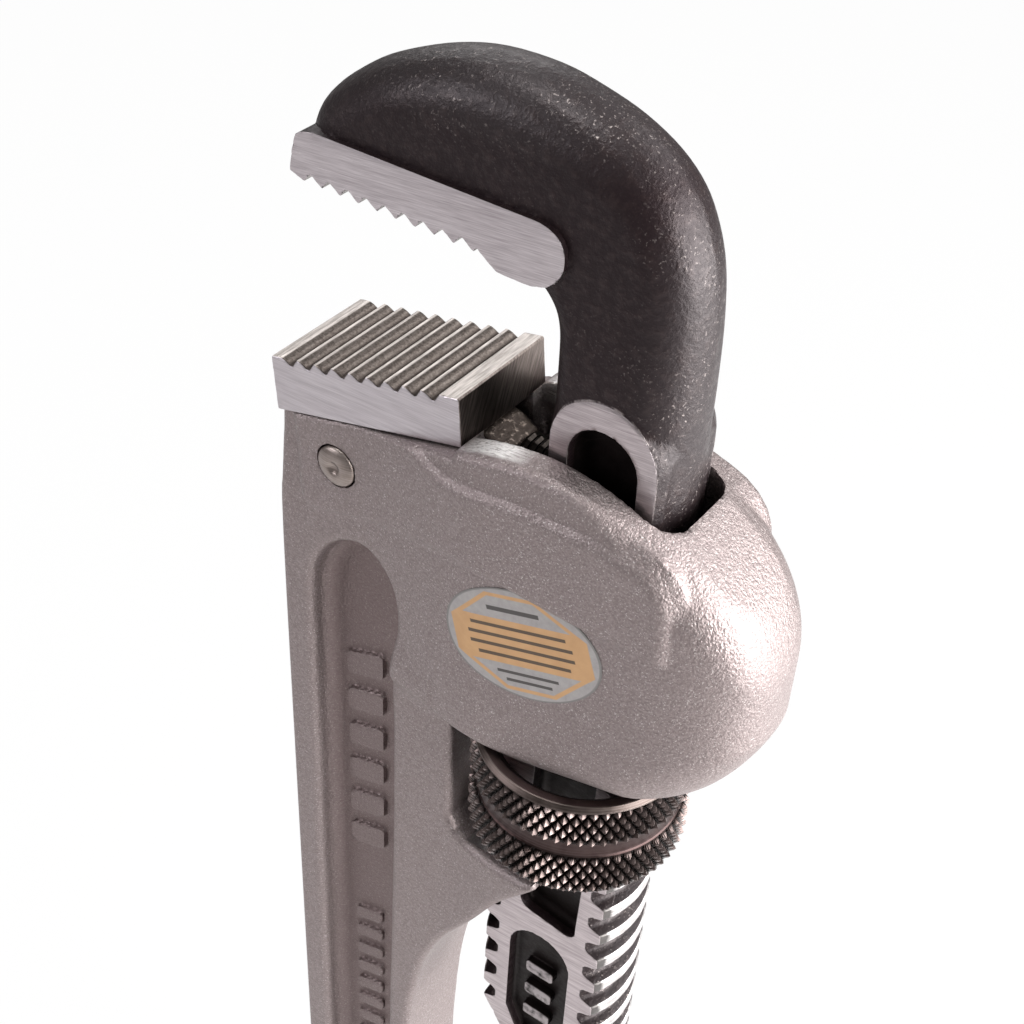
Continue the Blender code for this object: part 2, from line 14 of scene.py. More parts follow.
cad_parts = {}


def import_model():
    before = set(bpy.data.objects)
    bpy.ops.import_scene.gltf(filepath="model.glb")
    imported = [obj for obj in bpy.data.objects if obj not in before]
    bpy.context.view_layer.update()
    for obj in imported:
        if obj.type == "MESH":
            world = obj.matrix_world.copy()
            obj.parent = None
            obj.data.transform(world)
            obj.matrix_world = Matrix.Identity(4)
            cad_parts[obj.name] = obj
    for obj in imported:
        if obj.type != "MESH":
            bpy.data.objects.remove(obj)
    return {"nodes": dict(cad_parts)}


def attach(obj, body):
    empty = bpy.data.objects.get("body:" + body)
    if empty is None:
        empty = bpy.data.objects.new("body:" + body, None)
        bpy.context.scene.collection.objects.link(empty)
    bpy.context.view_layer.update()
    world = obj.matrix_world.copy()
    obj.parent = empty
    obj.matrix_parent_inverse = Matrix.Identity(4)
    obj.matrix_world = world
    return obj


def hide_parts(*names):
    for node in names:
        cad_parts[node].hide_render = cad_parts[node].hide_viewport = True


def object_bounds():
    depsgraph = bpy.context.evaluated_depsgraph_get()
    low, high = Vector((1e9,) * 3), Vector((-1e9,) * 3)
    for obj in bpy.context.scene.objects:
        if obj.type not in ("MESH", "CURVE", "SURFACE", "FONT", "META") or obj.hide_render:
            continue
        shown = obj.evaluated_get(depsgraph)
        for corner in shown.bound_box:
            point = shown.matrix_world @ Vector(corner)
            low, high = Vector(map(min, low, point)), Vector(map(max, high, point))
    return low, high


MM = 0.001
CAST_STEP = 0.48
HOOK_STEP = 0.36
HEEL_STEP = 0.26

# Casting
PLATE_HALF = 8.6  # half thickness of the handle's flanges
WEB_HALF = 4.4  # half thickness of the web between them
BLOCK_HALF = 12.8  # half thickness of the housing where its back starts to turn
BLOCK_TURN = 34.0  # where that is, along x
BLOCK_REAR = 62.4
BLOCK_BOTTOM = -65.0
CROWN_X, CROWN_Z = 30.0, -12.9
SLOT_HALF = 7.9
PANEL_RISE = 0.85
RIB_CENTRE = -4.8
HANDLE_ROUND = 13.2  # radius of the handle's lower end
HANG_HOLE = (-5.4, -323.0, 6.0)
PIN_CENTRE = (-5.9, -30.6)
PIN_SIDES = 56

# Heel jaw
HEEL_HALF = 9.6
HEEL_FRONT = (-17.2, -16.5)
HEEL_LENGTH = 33.3
HEEL_TILT = math.radians(12.5)
HEEL_SEAT_SLOPE = math.tan(math.radians(14.8))
HEEL_PITCH = 3.16
HEEL_GROOVES = 9
FRONT_LAND = 1.85

# Hook jaw
FORGE_HALF = 6.95  # forged body
FLAT_HALF = 7.2  # ground flats along the shank
PAD_HALF = 7.6  # ground sides of the tooth pad
HOOK_PITCH = 3.0
HOOK_TEETH = 10
FIRST_TIP = -11.6
AXIS_X = 33.3  # axis of the thread and the nut
PITCH = 6.35
CREST = 12.9
ROOT = 10.9
GROOVE_Z = -98.5  # a groove's centre where it meets the near flat's back edge
GROOVE_ANGLE = math.radians(-40.0)
TAPER_START = -133.5
SHANK_END = -149.0
BAR_TOP, BAR_PITCH, BARS = -116.6, 6.0, 3

# Nut
NUT_TOP = -65.7
NUT_HEIGHT = 19.2
NUT_BORE = 13.2
KNURL_ROOT = 16.0
KNURLS = 60
KNURL_LEAD = 2.88  # height of one diamond; its width is one KNURLS-th of a turn
KNURL_CUTS = 6  # mesh steps across a diamond

# Label
LABEL_CENTRE = (29.4, -41.8)
LABEL_RADII = (13.3, 9.0)
LABEL_TILT = math.radians(18.4)
LABEL_RULES = (  # height, half width and half length, as shares of the radii
    (0.27, 0.035, 0.62), (0.09, 0.035, 0.68), (-0.09, 0.035, 0.68), (-0.27, 0.035, 0.60),
    (0.60, 0.045, 0.34), (-0.56, 0.03, 0.40), (-0.70, 0.03, 0.30),
)

# Stage, in metres
CAMERA_PLACE = (0.118005, -0.148927, 0.114538)
CAMERA_ANGLES = (33.849, 39.361, 3.252)  # azimuth, elevation and roll in degrees
CAMERA_LENS = 58.45
FLOOR_HALF = 6.0
FLOOR_GAP = 0.0005
FLOOR_GLOW = 0.955  # share of plain white in what the camera sees of the floor
AMBIENT = 0.30
LIGHT_TARGET = (0.015, 0.0, -0.03)
LIGHTS = (  # name, place, size, watts, colour
    ("key_right", (0.72, 0.12, 0.10), (0.80, 0.80), 20.0, (1.0, 0.99, 0.98)),
    ("back_top", (0.36, 0.62, 0.66), (0.60, 0.50), 3.8, (1.0, 1.0, 1.0)),
    ("back_left", (-0.58, 0.68, 0.50), (0.60, 0.50), 2.2, (1.0, 1.0, 1.0)),
    ("top", (-0.22, -0.10, 0.98), (0.42, 0.42), 4.4, (1.0, 1.0, 1.0)),
    ("front_left", (-0.72, -0.78, 0.34), (0.60, 0.60), 4.4, (0.97, 0.96, 1.0)),
)


# ---- outlines

def arc(cx, cz, radius, start, end, steps):
    """Points on an arc, angles in degrees."""
    angles = [math.radians(start + (end - start) * i / steps) for i in range(steps + 1)]
    return [(cx + radius * math.cos(a), cz + radius * math.sin(a)) for a in angles]


def spline(points, steps):
    """Smooth curve through the points, ends included."""
    curve = []
    last = len(points) - 1
    for i in range(last):
        p = [Vector(points[min(max(i + k, 0), last)]) for k in (-1, 0, 1, 2)]
        for k in range(steps):
            t = k / steps
            a = p[1] * 2 + (p[2] - p[0]) * t
            b = (p[0] * 2 - p[1] * 5 + p[2] * 4 - p[3]) * t ** 2
            c = (p[1] * 3 - p[0] - p[2] * 3 + p[3]) * t ** 3
            curve.append(tuple((a + b + c) / 2))
    curve.append(tuple(points[-1]))
    return curve


def rounded(corners, steps=5):
    """Outline from (x, z, radius) corners."""
    points = []
    for i, (x, z, radius) in enumerate(corners):
        here = Vector((x, z))
        before = Vector(corners[i - 1][:2]) - here
        after = Vector(corners[(i + 1) % len(corners)][:2]) - here
        if radius <= 0.0:
            points.append((x, z))
            continue
        reach = radius / math.tan(before.angle(after) / 2)
        reach = min(reach, 0.49 * before.length, 0.49 * after.length)
        start = here + before.normalized() * reach
        end = here + after.normalized() * reach
        for k in range(steps + 1):
            t = k / steps
            points.append(tuple(start * (1 - t) ** 2 + here * 2 * t * (1 - t) + end * t ** 2))
    return points


class Outline:
    """Signed distance to a closed outline, looked up on a fine grid."""

    def __init__(self, points, step, margin=4.0):
        points = np.array(points, dtype=np.float64)
        self.step = step
        self.low = points.min(0) - margin
        count = ((points.max(0) + margin - self.low) / step).astype(int) + 2
        u = self.low[0] + step * np.arange(count[0])[:, None]
        v = self.low[1] + step * np.arange(count[1])[None, :]
        best = np.full(count, 1e9)
        inside = np.zeros(count, dtype=bool)
        for a, b in zip(points, np.roll(points, -1, axis=0)):
            edge = b - a
            if edge @ edge < 1e-12:
                continue
            t = np.clip(((u - a[0]) * edge[0] + (v - a[1]) * edge[1]) / (edge @ edge), 0.0, 1.0)
            best = np.minimum(best, (u - a[0] - t * edge[0]) ** 2 + (v - a[1] - t * edge[1]) ** 2)
            if edge[1] != 0.0:
                between = (a[1] > v) != (b[1] > v)
                inside ^= between & (u < a[0] + (v - a[1]) * edge[0] / edge[1])
        self.grid = np.where(inside, -np.sqrt(best), np.sqrt(best)).astype(np.float32)

    def __call__(self, u, v):
        fu = np.clip((u - self.low[0]) / self.step, 0.0, self.grid.shape[0] - 1.001)
        fv = np.clip((v - self.low[1]) / self.step, 0.0, self.grid.shape[1] - 1.001)
        iu = fu.astype(np.int32)
        iv = fv.astype(np.int32)
        fu = (fu - iu).astype(np.float32)
        fv = (fv - iv).astype(np.float32)
        g = self.grid
        near = g[iu, iv] * (1 - fu) + g[iu + 1, iv] * fu
        far = g[iu, iv + 1] * (1 - fu) + g[iu + 1, iv + 1] * fu
        return near * (1 - fv) + far * fv


# ---- distance functions

def blend(value, low, high):
    """Smooth step from 0 at low to 1 at high."""
    t = np.clip((value - low) / (high - low), 0.0, 1.0)
    return t * t * (3 - 2 * t)


def both(a, b, radius):
    """Intersection with its edge rounded to a radius."""
    a, b = a + radius, b + radius
    inner = np.minimum(np.maximum(a, b), 0.0)
    return inner + np.hypot(np.maximum(a, 0.0), np.maximum(b, 0.0)) - radius


def join(a, b, width):
    """Union with a fillet about as wide as given."""
    h = np.maximum(width - np.abs(a - b), 0.0) / width
    return np.minimum(a, b) - h * h * width * 0.25


def cut(a, b, width):
    """a without b, with the rim softened."""
    return -join(-a, b, width)


def box2(u, v, half_u, half_v, radius):
    """Rectangle about the origin with rounded corners."""
    du = np.abs(u) - half_u + radius
    dv = np.abs(v) - half_v + radius
    outer = np.hypot(np.maximum(du, 0.0), np.maximum(dv, 0.0))
    return outer + np.minimum(np.maximum(du, dv), 0.0) - radius


# ---- meshing

def slopes(field, points):
    """Unit normals of the field at points."""
    reach = 0.03
    total = np.zeros_like(points)
    for sign in ((1, -1, -1), (-1, -1, 1), (-1, 1, -1), (1, 1, 1)):
        value = field(*(points[:, i] + sign[i] * reach for i in range(3)))
        total += value[:, None] * np.array(sign)
    return total / np.maximum(np.linalg.norm(total, axis=1, keepdims=True), 1e-9)


def ticks(start, *spans):
    """Grid lines from start through spans of (end, spacing)."""
    lines = [start]
    for end, spacing in spans:
        count = max(int(round((end - lines[-1]) / spacing)), 1)
        lines += list(np.linspace(lines[-1], end, count + 1)[1:])
    return np.array(lines)


def contour(field, axes):
    """Points and quads of the surface where the field is zero, by dual contouring."""
    pull = 0.02                   # weight that holds a point near the middle of its crossings
    slack = 0.1                   # how far a point may leave its cell, as a share of the cell
    sparse = np.meshgrid(*axes, indexing="ij", sparse=True)
    shape = tuple(len(a) for a in axes)
    value = np.ascontiguousarray(np.broadcast_to(field(*sparse), shape), dtype=np.float32)
    inside = value < 0.0
    stride = np.array([shape[1] * shape[2], shape[2], 1])
    crossings, cells = [], []
    for axis in range(3):
        ahead = [slice(None)] * 3
        behind = [slice(None)] * 3
        ahead[axis] = slice(1, None)
        behind[axis] = slice(None, -1)
        index = np.argwhere(inside[tuple(ahead)] != inside[tuple(behind)])
        flat = index @ stride
        first = value.reshape(-1)[flat]
        second = value.reshape(-1)[flat + stride[axis]]
        spot = np.stack([axes[i][index[:, i]] for i in range(3)], axis=1)
        spot[:, axis] += np.diff(axes[axis])[index[:, axis]] * first / (first - second)
        crossings.append(spot)
        u, v = stride[(axis + 1) % 3], stride[(axis + 2) % 3]
        around = np.stack([flat - u - v, flat - v, flat, flat - u], axis=1)
        around[first > 0.0] = around[first > 0.0][:, ::-1]
        cells.append(around)
    spots = np.concatenate(crossings)
    normals = slopes(field, spots)
    cells = np.concatenate(cells)
    used = np.zeros(value.size, dtype=bool)
    used[cells.reshape(-1)] = True
    number = np.cumsum(used) - 1
    count = int(number[-1]) + 1
    quads = number[cells]
    owner = quads.reshape(-1)
    which = np.repeat(np.arange(len(spots)), 4)
    hits = np.bincount(owner, minlength=count).astype(float)
    middle = np.stack([np.bincount(owner, spots[which, i], count) for i in range(3)], axis=1)
    middle /= hits[:, None]
    offset = np.einsum("ij,ij->i", normals[which], spots[which] - middle[owner])
    matrix = np.empty((count, 3, 3))
    for i in range(3):
        for j in range(i, 3):
            matrix[:, i, j] = np.bincount(owner, normals[which, i] * normals[which, j], count)
            matrix[:, j, i] = matrix[:, i, j]
        matrix[:, i, i] += pull * hits
    right = [np.bincount(owner, normals[which, i] * offset, count) for i in range(3)]
    right = np.stack(right, axis=1)
    points = middle + np.linalg.solve(matrix, right[:, :, None])[:, :, 0]
    cell = np.stack(np.unravel_index(np.flatnonzero(used), shape), axis=1)
    corner = np.stack([axes[i][cell[:, i]] for i in range(3)], axis=1)
    size = np.stack([np.diff(axes[i])[cell[:, i]] for i in range(3)], axis=1)
    return np.clip(points, corner - slack * size, corner + (1 + slack) * size), quads


def placed(name, data):
    made = bpy.data.objects.new(name, data)
    bpy.context.collection.objects.link(made)
    return made


def piece(name, points, faces, materials, which=None, sharp=32.0):
    """A mesh object from millimetre points and faces of one length each."""
    mesh = bpy.data.meshes.new(name)
    points = np.asarray(points, dtype=np.float64) * MM
    faces = np.asarray(faces, dtype=np.int32)
    size = faces.shape[1]
    mesh.vertices.add(len(points))
    mesh.vertices.foreach_set("co", points.ravel())
    mesh.loops.add(faces.size)
    mesh.loops.foreach_set("vertex_index", faces.ravel())
    mesh.polygons.add(len(faces))
    mesh.polygons.foreach_set("loop_start", np.arange(0, faces.size, size, dtype=np.int32))
    for material in materials:
        mesh.materials.append(material)
    if which is not None:
        mesh.polygons.foreach_set("material_index", np.asarray(which, dtype=np.int32))
    mesh.update(calc_edges=True)
    mesh.validate()
    mesh.shade_smooth()
    mesh.set_sharp_from_angle(angle=math.radians(sharp))
    return placed(name, mesh)


# ---- casting

def block_half(x):
    """Half thickness of the housing along x, before its round back."""
    return 8.1 + 0.55 * blend(x, -6.0, 1.0) + 4.15 * blend(x, -4.0, 22.0)


def crown(x):
    """Height of the housing's top along x."""
    if x < CROWN_X:
        return CROWN_Z - 2.9 * (min(CROWN_X - x, 14.0) / 14.0) ** 2
    return CROWN_Z - 18.0 * ((x - CROWN_X) / (BLOCK_REAR - CROWN_X)) ** 2.2


def rear_taper(t):
    """Share of the full width left at t from the start of the round back to its end."""
    return max(1.0 - t ** 4.2, 0.0) ** 0.42


def belly(x, z):
    """How far the lower part of the housing swells on each side."""
    return 0.7 * blend(-z, 42.0, 60.0) * blend(x, 6.0, 20.0) * (1.0 - blend(x, 44.0, 60.0))


def casting_outlines():
    """Handle, housing from the side and from above, hollow, raised panel and shank slot."""
    hx, hz, _ = HANG_HOLE
    handle = spline([
        (-16.8, -12.0), (-16.9, -26.0), (-17.8, -37.0), (-18.5, -50.0), (-18.6, -110.0),
        (-18.6, -200.0), (-18.6, -296.0), (-18.6, hz - 1.5),
    ], 4)
    handle += arc(hx, hz - 1.8, HANDLE_ROUND, 180.0, 360.0, 24)[1:]
    handle += spline([
        (7.8, hz + 10.0), (6.0, -285.0), (4.9, -250.0), (5.2, -200.0), (6.4, -160.0),
        (8.8, -140.0), (13.0, -127.0), (19.6, -115.5), (26.0, -104.0), (32.2, -95.8),
    ], 5)
    handle += [(33.2, -94.4), (32.8, -93.6), (31.4, -93.8), (22.3, -95.3), (18.4, -95.2)]
    handle += [(16.2, -94.2), (15.0, -92.0), (15.0, -50.0), (15.0, -12.0)]
    block = [(-14.0, -60.0)] + [(x, crown(x)) for x in np.linspace(-14.0, 70.0, 70)]
    for x in np.linspace(70.0, 44.0, 24):
        block.append((x, BLOCK_BOTTOM + 11.0 * float(blend(x, 46.0, 68.0))))
    block += arc(3.5, BLOCK_BOTTOM + 4.0, 4.0, 270.0, 180.0, 6)
    plan = [(x, block_half(x)) for x in np.linspace(-15.0, BLOCK_TURN, 40)]
    for a in np.linspace(0.05, math.pi / 2, 40):
        t = math.sin(a)
        plan.append((BLOCK_TURN + (BLOCK_REAR - BLOCK_TURN) * t, BLOCK_HALF * rear_taper(t)))
    plan += [(x, -y) for x, y in reversed(plan[:-1])]
    recess = spline([
        (2.7, -78.0), (2.5, -68.5), (3.3, -62.0), (4.2, -56.5), (4.2, -52.0), (3.1, -48.2),
        (0.2, -45.6), (-3.2, -45.0), (-7.6, -47.2), (-10.8, -51.6), (-12.2, -58.0), (-12.3, -72.0),
    ], 4)
    recess += [(-12.4, -180.0), (-12.4, -286.0)]
    recess += arc(-6.6, -288.0, 5.8, 180.0, 360.0, 14)
    recess += spline([
        (-0.6, -270.0), (-0.2, -235.0), (1.4, -165.0), (2.5, -110.0), (2.7, -80.0),
    ], 3)
    panel = rounded([
        (-13.4, -25.0, 0.6), (-12.2, -40.3, 1.8), (-9.0, -39.8, 2.0), (6.0, -35.2, 3.0),
        (16.5, -31.9, 12.0), (50.3, -32.8, 0.5), (49.8, -21.2, 9.0), (39.0, -18.6, 10.0),
        (27.0, -19.2, 14.0), (15.5, -21.0, 8.0), (8.0, -19.0, 3.0),
    ])
    slot = rounded([
        (18.3, -SLOT_HALF, 0.6), (48.7, -SLOT_HALF, 4.6),
        (48.7, SLOT_HALF, 4.6), (18.3, SLOT_HALF, 0.6),
    ])
    return [Outline(points, 0.25, 9.0) for points in (handle, block, plan, recess, panel, slot)]


def rib_marks(x, z, z_top, pitch, count, half_x, half_z):
    """A row of plain slanted ribs in the hollow of the handle."""
    lean = z_top - z + 0.35 * (x - RIB_CENTRE)
    number = np.clip(np.floor(lean / pitch), 0, count - 1)
    return box2(x - RIB_CENTRE, lean - (number + 0.5) * pitch, half_x, half_z, 0.9)


def casting_field():
    """Handle and housing as one casting, with its hollow, slot, seat and holes cut out."""
    handle, block, plan, recess, panel, slot = casting_outlines()
    hx, hz, hr = HANG_HOLE

    def field(x, y, z):
        side = np.abs(y)
        plate_half = PLATE_HALF + 2.4 * blend(x, 12.0, 33.0)
        body = both(handle(x, z), side - plate_half, 1.45)
        upper = 1.5 + 3.4 * blend(x, 34.0, 50.0)
        lower = 1.0 + 8.5 * blend(x, 22.0, 52.0)
        shoulder = upper + (lower - upper) * blend(-z, 36.0, 52.0)
        fall = 0.28 * np.maximum(side - 7.0, 0.0) + 0.30 * np.maximum(y - 5.0, 0.0)
        fall = fall * blend(x, 34.0, 46.0) * blend(z, -44.0, -30.0)
        housing = both(block(x, z + fall), plan(x, side) - belly(x, z), shoulder)
        foot = 6.0 * blend(-z, 54.0, 63.0) * blend(x, 0.0, 6.0) * (1.0 - blend(x, 13.2, 15.2))
        body = join(body, housing, 0.5 + foot)
        raised = np.maximum(block_half(x), PLATE_HALF + 0.05) + PANEL_RISE
        depth = raised - 0.55 * blend(x, 36.0, 50.0) - side
        lit = blend(z - np.minimum(0.3 * x - 30.4, -25.5), -1.0, 3.0)
        lit = np.maximum(lit, blend(x, 46.0, 50.0))
        slope = 1.25 - 0.25 * lit
        step = (panel(x, z) - slope * np.clip(depth, 0.0, 2.6)) / np.hypot(1.0, slope)
        body = join(body, both(step, -depth, 0.15 + 0.45 * lit), 0.25)
        hollow = recess(x, z) - 0.16 * (side - WEB_HALF)
        body = cut(body, both(hollow, WEB_HALF - side, 2.2), 1.5)
        marks = rib_marks(x, z, -68.5, 8.3, 6, 3.7, 2.5)
        marks = np.minimum(marks, rib_marks(x, z, -134.0, 5.4, 9, 3.0, 1.5))
        body = join(body, both(marks, side - WEB_HALF - 0.8, 0.3), 0.5)
        body = cut(body, slot(x + 1.3 * blend(z, -26.0, -18.0), side), 0.4)
        tang = np.maximum(np.maximum(-13.6 - x, x - 19.0), np.maximum(side - 5.3, -41.8 - z))
        body = cut(body, tang, 0.5)
        seat = np.maximum(-25.55 + (x + 16.4) * HEEL_SEAT_SLOPE - z, x - 16.5)
        body = cut(body, seat, 0.6)
        pin = np.hypot(x - PIN_CENTRE[0], z - PIN_CENTRE[1]) - 3.5
        body = cut(body, pin, 0.4)
        hole = np.hypot(x - hx, z - hz) - hr
        return cut(body, hole, 1.4)

    return field


def make_casting(materials):
    """The handle and housing, meshed finely at the head and coarsely down the handle."""
    axes = [ticks(-20.2, (64.6, CAST_STEP)), ticks(-14.9, (14.9, CAST_STEP)),
            ticks(-340.2, (-300.0, 0.9), (-175.0, 1.6), (-10.0, CAST_STEP))]
    points, quads = contour(casting_field(), axes)
    return piece("housing_casting", points, quads, materials, sharp=50.0)


# ---- heel jaw

def heel_point(along, up):
    """A point given along and above the toothed face of the heel jaw."""
    c, s = math.cos(HEEL_TILT), math.sin(HEEL_TILT)
    return (HEEL_FRONT[0] + along * c - up * s, HEEL_FRONT[1] + along * s + up * c)


def heel_outline():
    """Side view of the ground part of the heel jaw, tooth by tooth."""
    outline = [(16.1, -16.7), (-16.4, -25.3), heel_point(0.0, -0.35), heel_point(0.3, 0.0)]
    for k in range(HEEL_GROOVES):
        start = FRONT_LAND + k * HEEL_PITCH
        for along, up in (
                (0.0, 0.0), (0.06, -0.05), (0.16, -0.18), (0.30, -0.46), (0.43, -0.82),
                (0.51, -0.99), (0.58, -1.04), (0.66, -0.96), (0.80, -0.45), (0.94, 0.0)):
            outline.append(heel_point(start + along * HEEL_PITCH, up))
    outline.append(heel_point(HEEL_LENGTH - 0.25, 0.0))
    outline.append(heel_point(HEEL_LENGTH, -0.25))
    return outline


def make_heel(materials):
    """The heel jaw: a ground, toothed block on a rough forged tang."""
    side_outline = Outline(heel_outline(), 0.06, 2.0)
    tang_outline = Outline(rounded([
        (-13.2, -20.0, 0.0), (-13.2, -41.5, 2.0), (2.0, -41.5, 4.0), (18.9, -30.0, 3.0),
        (19.8, -19.4, 1.6), (14.5, -17.6, 0.6),
    ]), 0.15)

    def field(x, y, z):
        side = np.abs(y)
        jaw = both(side_outline(x, z), side - HEEL_HALF, 0.22)
        lump = 4.6 + 0.25 * np.sin(1.3 * x + 0.7 * z) - 0.5 * blend(z, -24.0, -17.0)
        tang = both(tang_outline(x, z), side - lump, 1.1)
        return join(jaw, tang, 0.5)

    axes = [ticks(-18.5, (21.0, HEEL_STEP)), ticks(-10.3, (10.3, HEEL_STEP)),
            ticks(-42.6, (-8.3, HEEL_STEP))]
    points, quads = contour(field, axes)
    x, y, z = points[quads].mean(axis=1).T
    below = z < -26.0 + (x + 16.4) * HEEL_SEAT_SLOPE
    forged = (np.abs(y) < 5.2) & (below | (x > 16.6))
    return piece("heel_jaw_forging", points, quads, materials, forged, sharp=28.0)


def make_pin(material):
    """Pin with a low dome, a bright rim and a small centre dimple on each end."""
    face = PLATE_HALF + PANEL_RISE
    end = [(2.5, face - 1.0), (3.25, face - 0.9), (3.3, face - 0.1), (3.22, face + 0.12),
           (2.95, face + 0.32), (2.4, face + 0.52), (1.7, face + 0.66), (1.3, face + 0.68),
           (1.05, face + 0.60), (0.75, face + 0.36), (0.35, face + 0.24), (0.0, face + 0.22)]
    profile = end[::-1] + [(r, -h) for r, h in end]
    points, faces = revolve(profile, PIN_SIDES)
    x, y, z = points.T
    points = np.stack([x + PIN_CENTRE[0], z, y + PIN_CENTRE[1]], axis=1)
    return piece("jaw_pin", points, faces[:, ::-1], [material], sharp=40.0)


def revolve(profile, steps):
    """Points and quads of (radius, height) turned round Z."""
    angles = np.arange(steps) * 2 * math.pi / steps
    r = np.array([p[0] for p in profile])
    h = np.array([p[1] for p in profile])
    heights = np.repeat(h[:, None], steps, axis=1)
    points = [np.outer(r, np.cos(angles)), np.outer(r, np.sin(angles)), heights]
    points = np.stack(points, axis=2).reshape(-1, 3)
    return points, ring_quads(len(profile), steps)


def ring_quads(rings, steps):
    """Quads between closed rings of points, each ring joined to the next."""
    faces = []
    for a in range(0, (rings - 1) * steps, steps):
        for i in range(steps):
            k = (i + 1) % steps
            faces.append((a + i, a + steps + i, a + steps + k, a + k))
    return np.array(faces)


# ---- hook jaw

def hook_outlines():
    """Back, throat, tooth pad, arch and its pocket, and the pill-shaped pocket below."""
    outer = spline([
        (-14.6, 12.5), (-13.7, 17.8), (-11.5, 22.1), (-6.0, 26.7), (-1.2, 29.5), (5.2, 32.1),
        (11.7, 33.6), (19.3, 33.8), (25.3, 32.8), (31.2, 31.1), (36.5, 28.4), (40.4, 24.9),
        (42.9, 20.6), (44.5, 15.6), (45.3, 9.0), (45.5, 1.3), (45.5, -8.0), (45.3, -18.0),
        (45.2, -46.0),
    ], 4)
    outer += [(0.0, -46.0), (-14.6, -46.0)]
    inner = spline([
        (-16.0, 14.6), (-12.6, 14.2), (-4.0, 13.4), (8.0, 12.4), (18.0, 11.0), (22.6, 9.9),
        (25.2, 8.1), (26.7, 5.2), (27.1, 0.0), (27.0, -12.0), (26.4, -30.0), (26.2, -46.0),
    ], 4)
    inner += [(60.0, -46.0), (60.0, 50.0), (-16.0, 50.0)]
    pad = [(-13.9, 12.4)]
    for k in range(HOOK_TEETH):
        tip = FIRST_TIP + HOOK_PITCH * k
        pad += [(tip - 0.12, 11.62), (tip + 0.12, 11.62)]
        if k < HOOK_TEETH - 1:
            pad += [(tip + 0.85, 12.68), (tip + 1.05, 12.78), (tip + 1.4, 12.74)]
    pad += [(15.6, 11.9), (16.0, 12.1), (17.5, 11.0), (18.9, 10.1), (21.7, 9.95), (24.1, 10.1)]
    pad += spline([
        (26.2, 10.7), (27.5, 12.0), (28.3, 13.4), (28.5, 15.0), (28.2, 16.6), (27.3, 17.9),
        (25.6, 18.7), (24.0, 18.9),
    ], 3)
    pad += [(-9.9, 18.8), (-11.8, 18.4), (-12.8, 17.7), (-13.5, 15.1)]
    arch = [(28.0, -44.0)] + arc(35.9, -10.4, 7.9, 180.0, 0.0, 26) + [(43.8, -44.0)]
    pocket = arc(35.9, -11.6, 4.9, 180.0, 0.0, 20) + [(40.9, -16.0), (40.2, -60.0)]
    pocket += rounded([
        (39.3, -105.2, 1.8), (29.0, -103.8, 2.2), (30.2, -60.0, 0.0), (31.0, -16.0, 0.0),
    ], 6)
    pill = arc(33.2, -115.2, 5.5, 0.0, 180.0, 14)
    pill += [(27.7, -133.0), (30.2, -138.5), (36.0, -139.5), (38.7, -133.0)]
    coarse = [Outline(points, 0.25) for points in (outer, inner)]
    medium = [Outline(points, 0.15) for points in (arch, pocket, pill)]
    return *coarse, Outline(pad, 0.06, 2.5), *medium


def groove_axial(x, y, z):
    """Distance along the axis to the nearest groove centre of the thread, and the radius."""
    angle = np.arctan2(y, x - AXIS_X)
    turn = (z - GROOVE_Z) / PITCH - (angle - GROOVE_ANGLE) / (2 * math.pi)
    return (turn - np.floor(turn + 0.5)) * PITCH, np.hypot(x - AXIS_X, y)


def hook_field():
    """The forging with its tooth pad, ground arch, threaded shank and pockets."""
    outer, inner, pad, arch, pocket, pill = hook_outlines()

    def field(x, y, z):
        side = np.abs(y)
        face = side - FORGE_HALF + 0.25 * blend(z, -2.0, 12.0) * blend(-z, -40.0, -16.0)
        skin = outer(x, z)
        back = both(skin, face, 6.3)
        throat = both(inner(x, z), face, 2.8)
        forging = np.maximum(back, throat)
        flash = 0.30 * np.exp(-((y / 0.9) ** 2)) * blend(-skin, -1.0, 0.6) * blend(z, -12.0, 6.0)
        forging = forging - flash * (inner(x, z) < -4.0)
        low = np.maximum(FLAT_HALF - side, 0.0)
        boss = (arch(x, z) - 0.55 * np.minimum(low, 2.2)) / 1.14
        inset = skin + 1.5 - 0.7 * blend(-y, -6.5, -5.0)
        boss = np.maximum(both(boss, side - FLAT_HALF, 0.12), inset)
        body = join(forging, boss, 0.5)
        body = np.minimum(body, both(pad(x, z), side - PAD_HALF, 0.12))
        axial, radius = groove_axial(x, y, z)
        axial = np.abs(axial)
        wall = (axial - 1.22 - 0.42 * (radius - ROOT)) * 0.92
        groove = both(wall, ROOT - radius, 0.6)
        rod = cut(radius - CREST, groove, 0.35)
        rod = both(rod, side - FLAT_HALF, 0.12)
        rod = np.maximum(rod, z + 38.0)
        rod = both(rod, SHANK_END - z, 0.8)
        taper = ((TAPER_START - z) * 3.9 - (x - 22.0) * 6.2) / 7.3
        rod = both(rod, taper, 0.5)
        body = np.minimum(body, rod)
        drop = 0.10 * (side - 4.4)
        body = cut(body, both(pocket(x, z) - drop, 4.3 - side, 1.1), 0.3)
        down = BAR_TOP - z
        bars = box2(x - 33.2, np.mod(down, BAR_PITCH) - BAR_PITCH / 2, 2.7, 1.3, 0.7)
        bars = np.maximum(bars, np.maximum(down - BAR_PITCH * BARS, -down))
        body = cut(body, both(pill(x, z) - drop, 5.3 - side, 0.5), 0.3)
        return join(body, both(bars, side - 6.7, 0.2), 0.3)

    return field


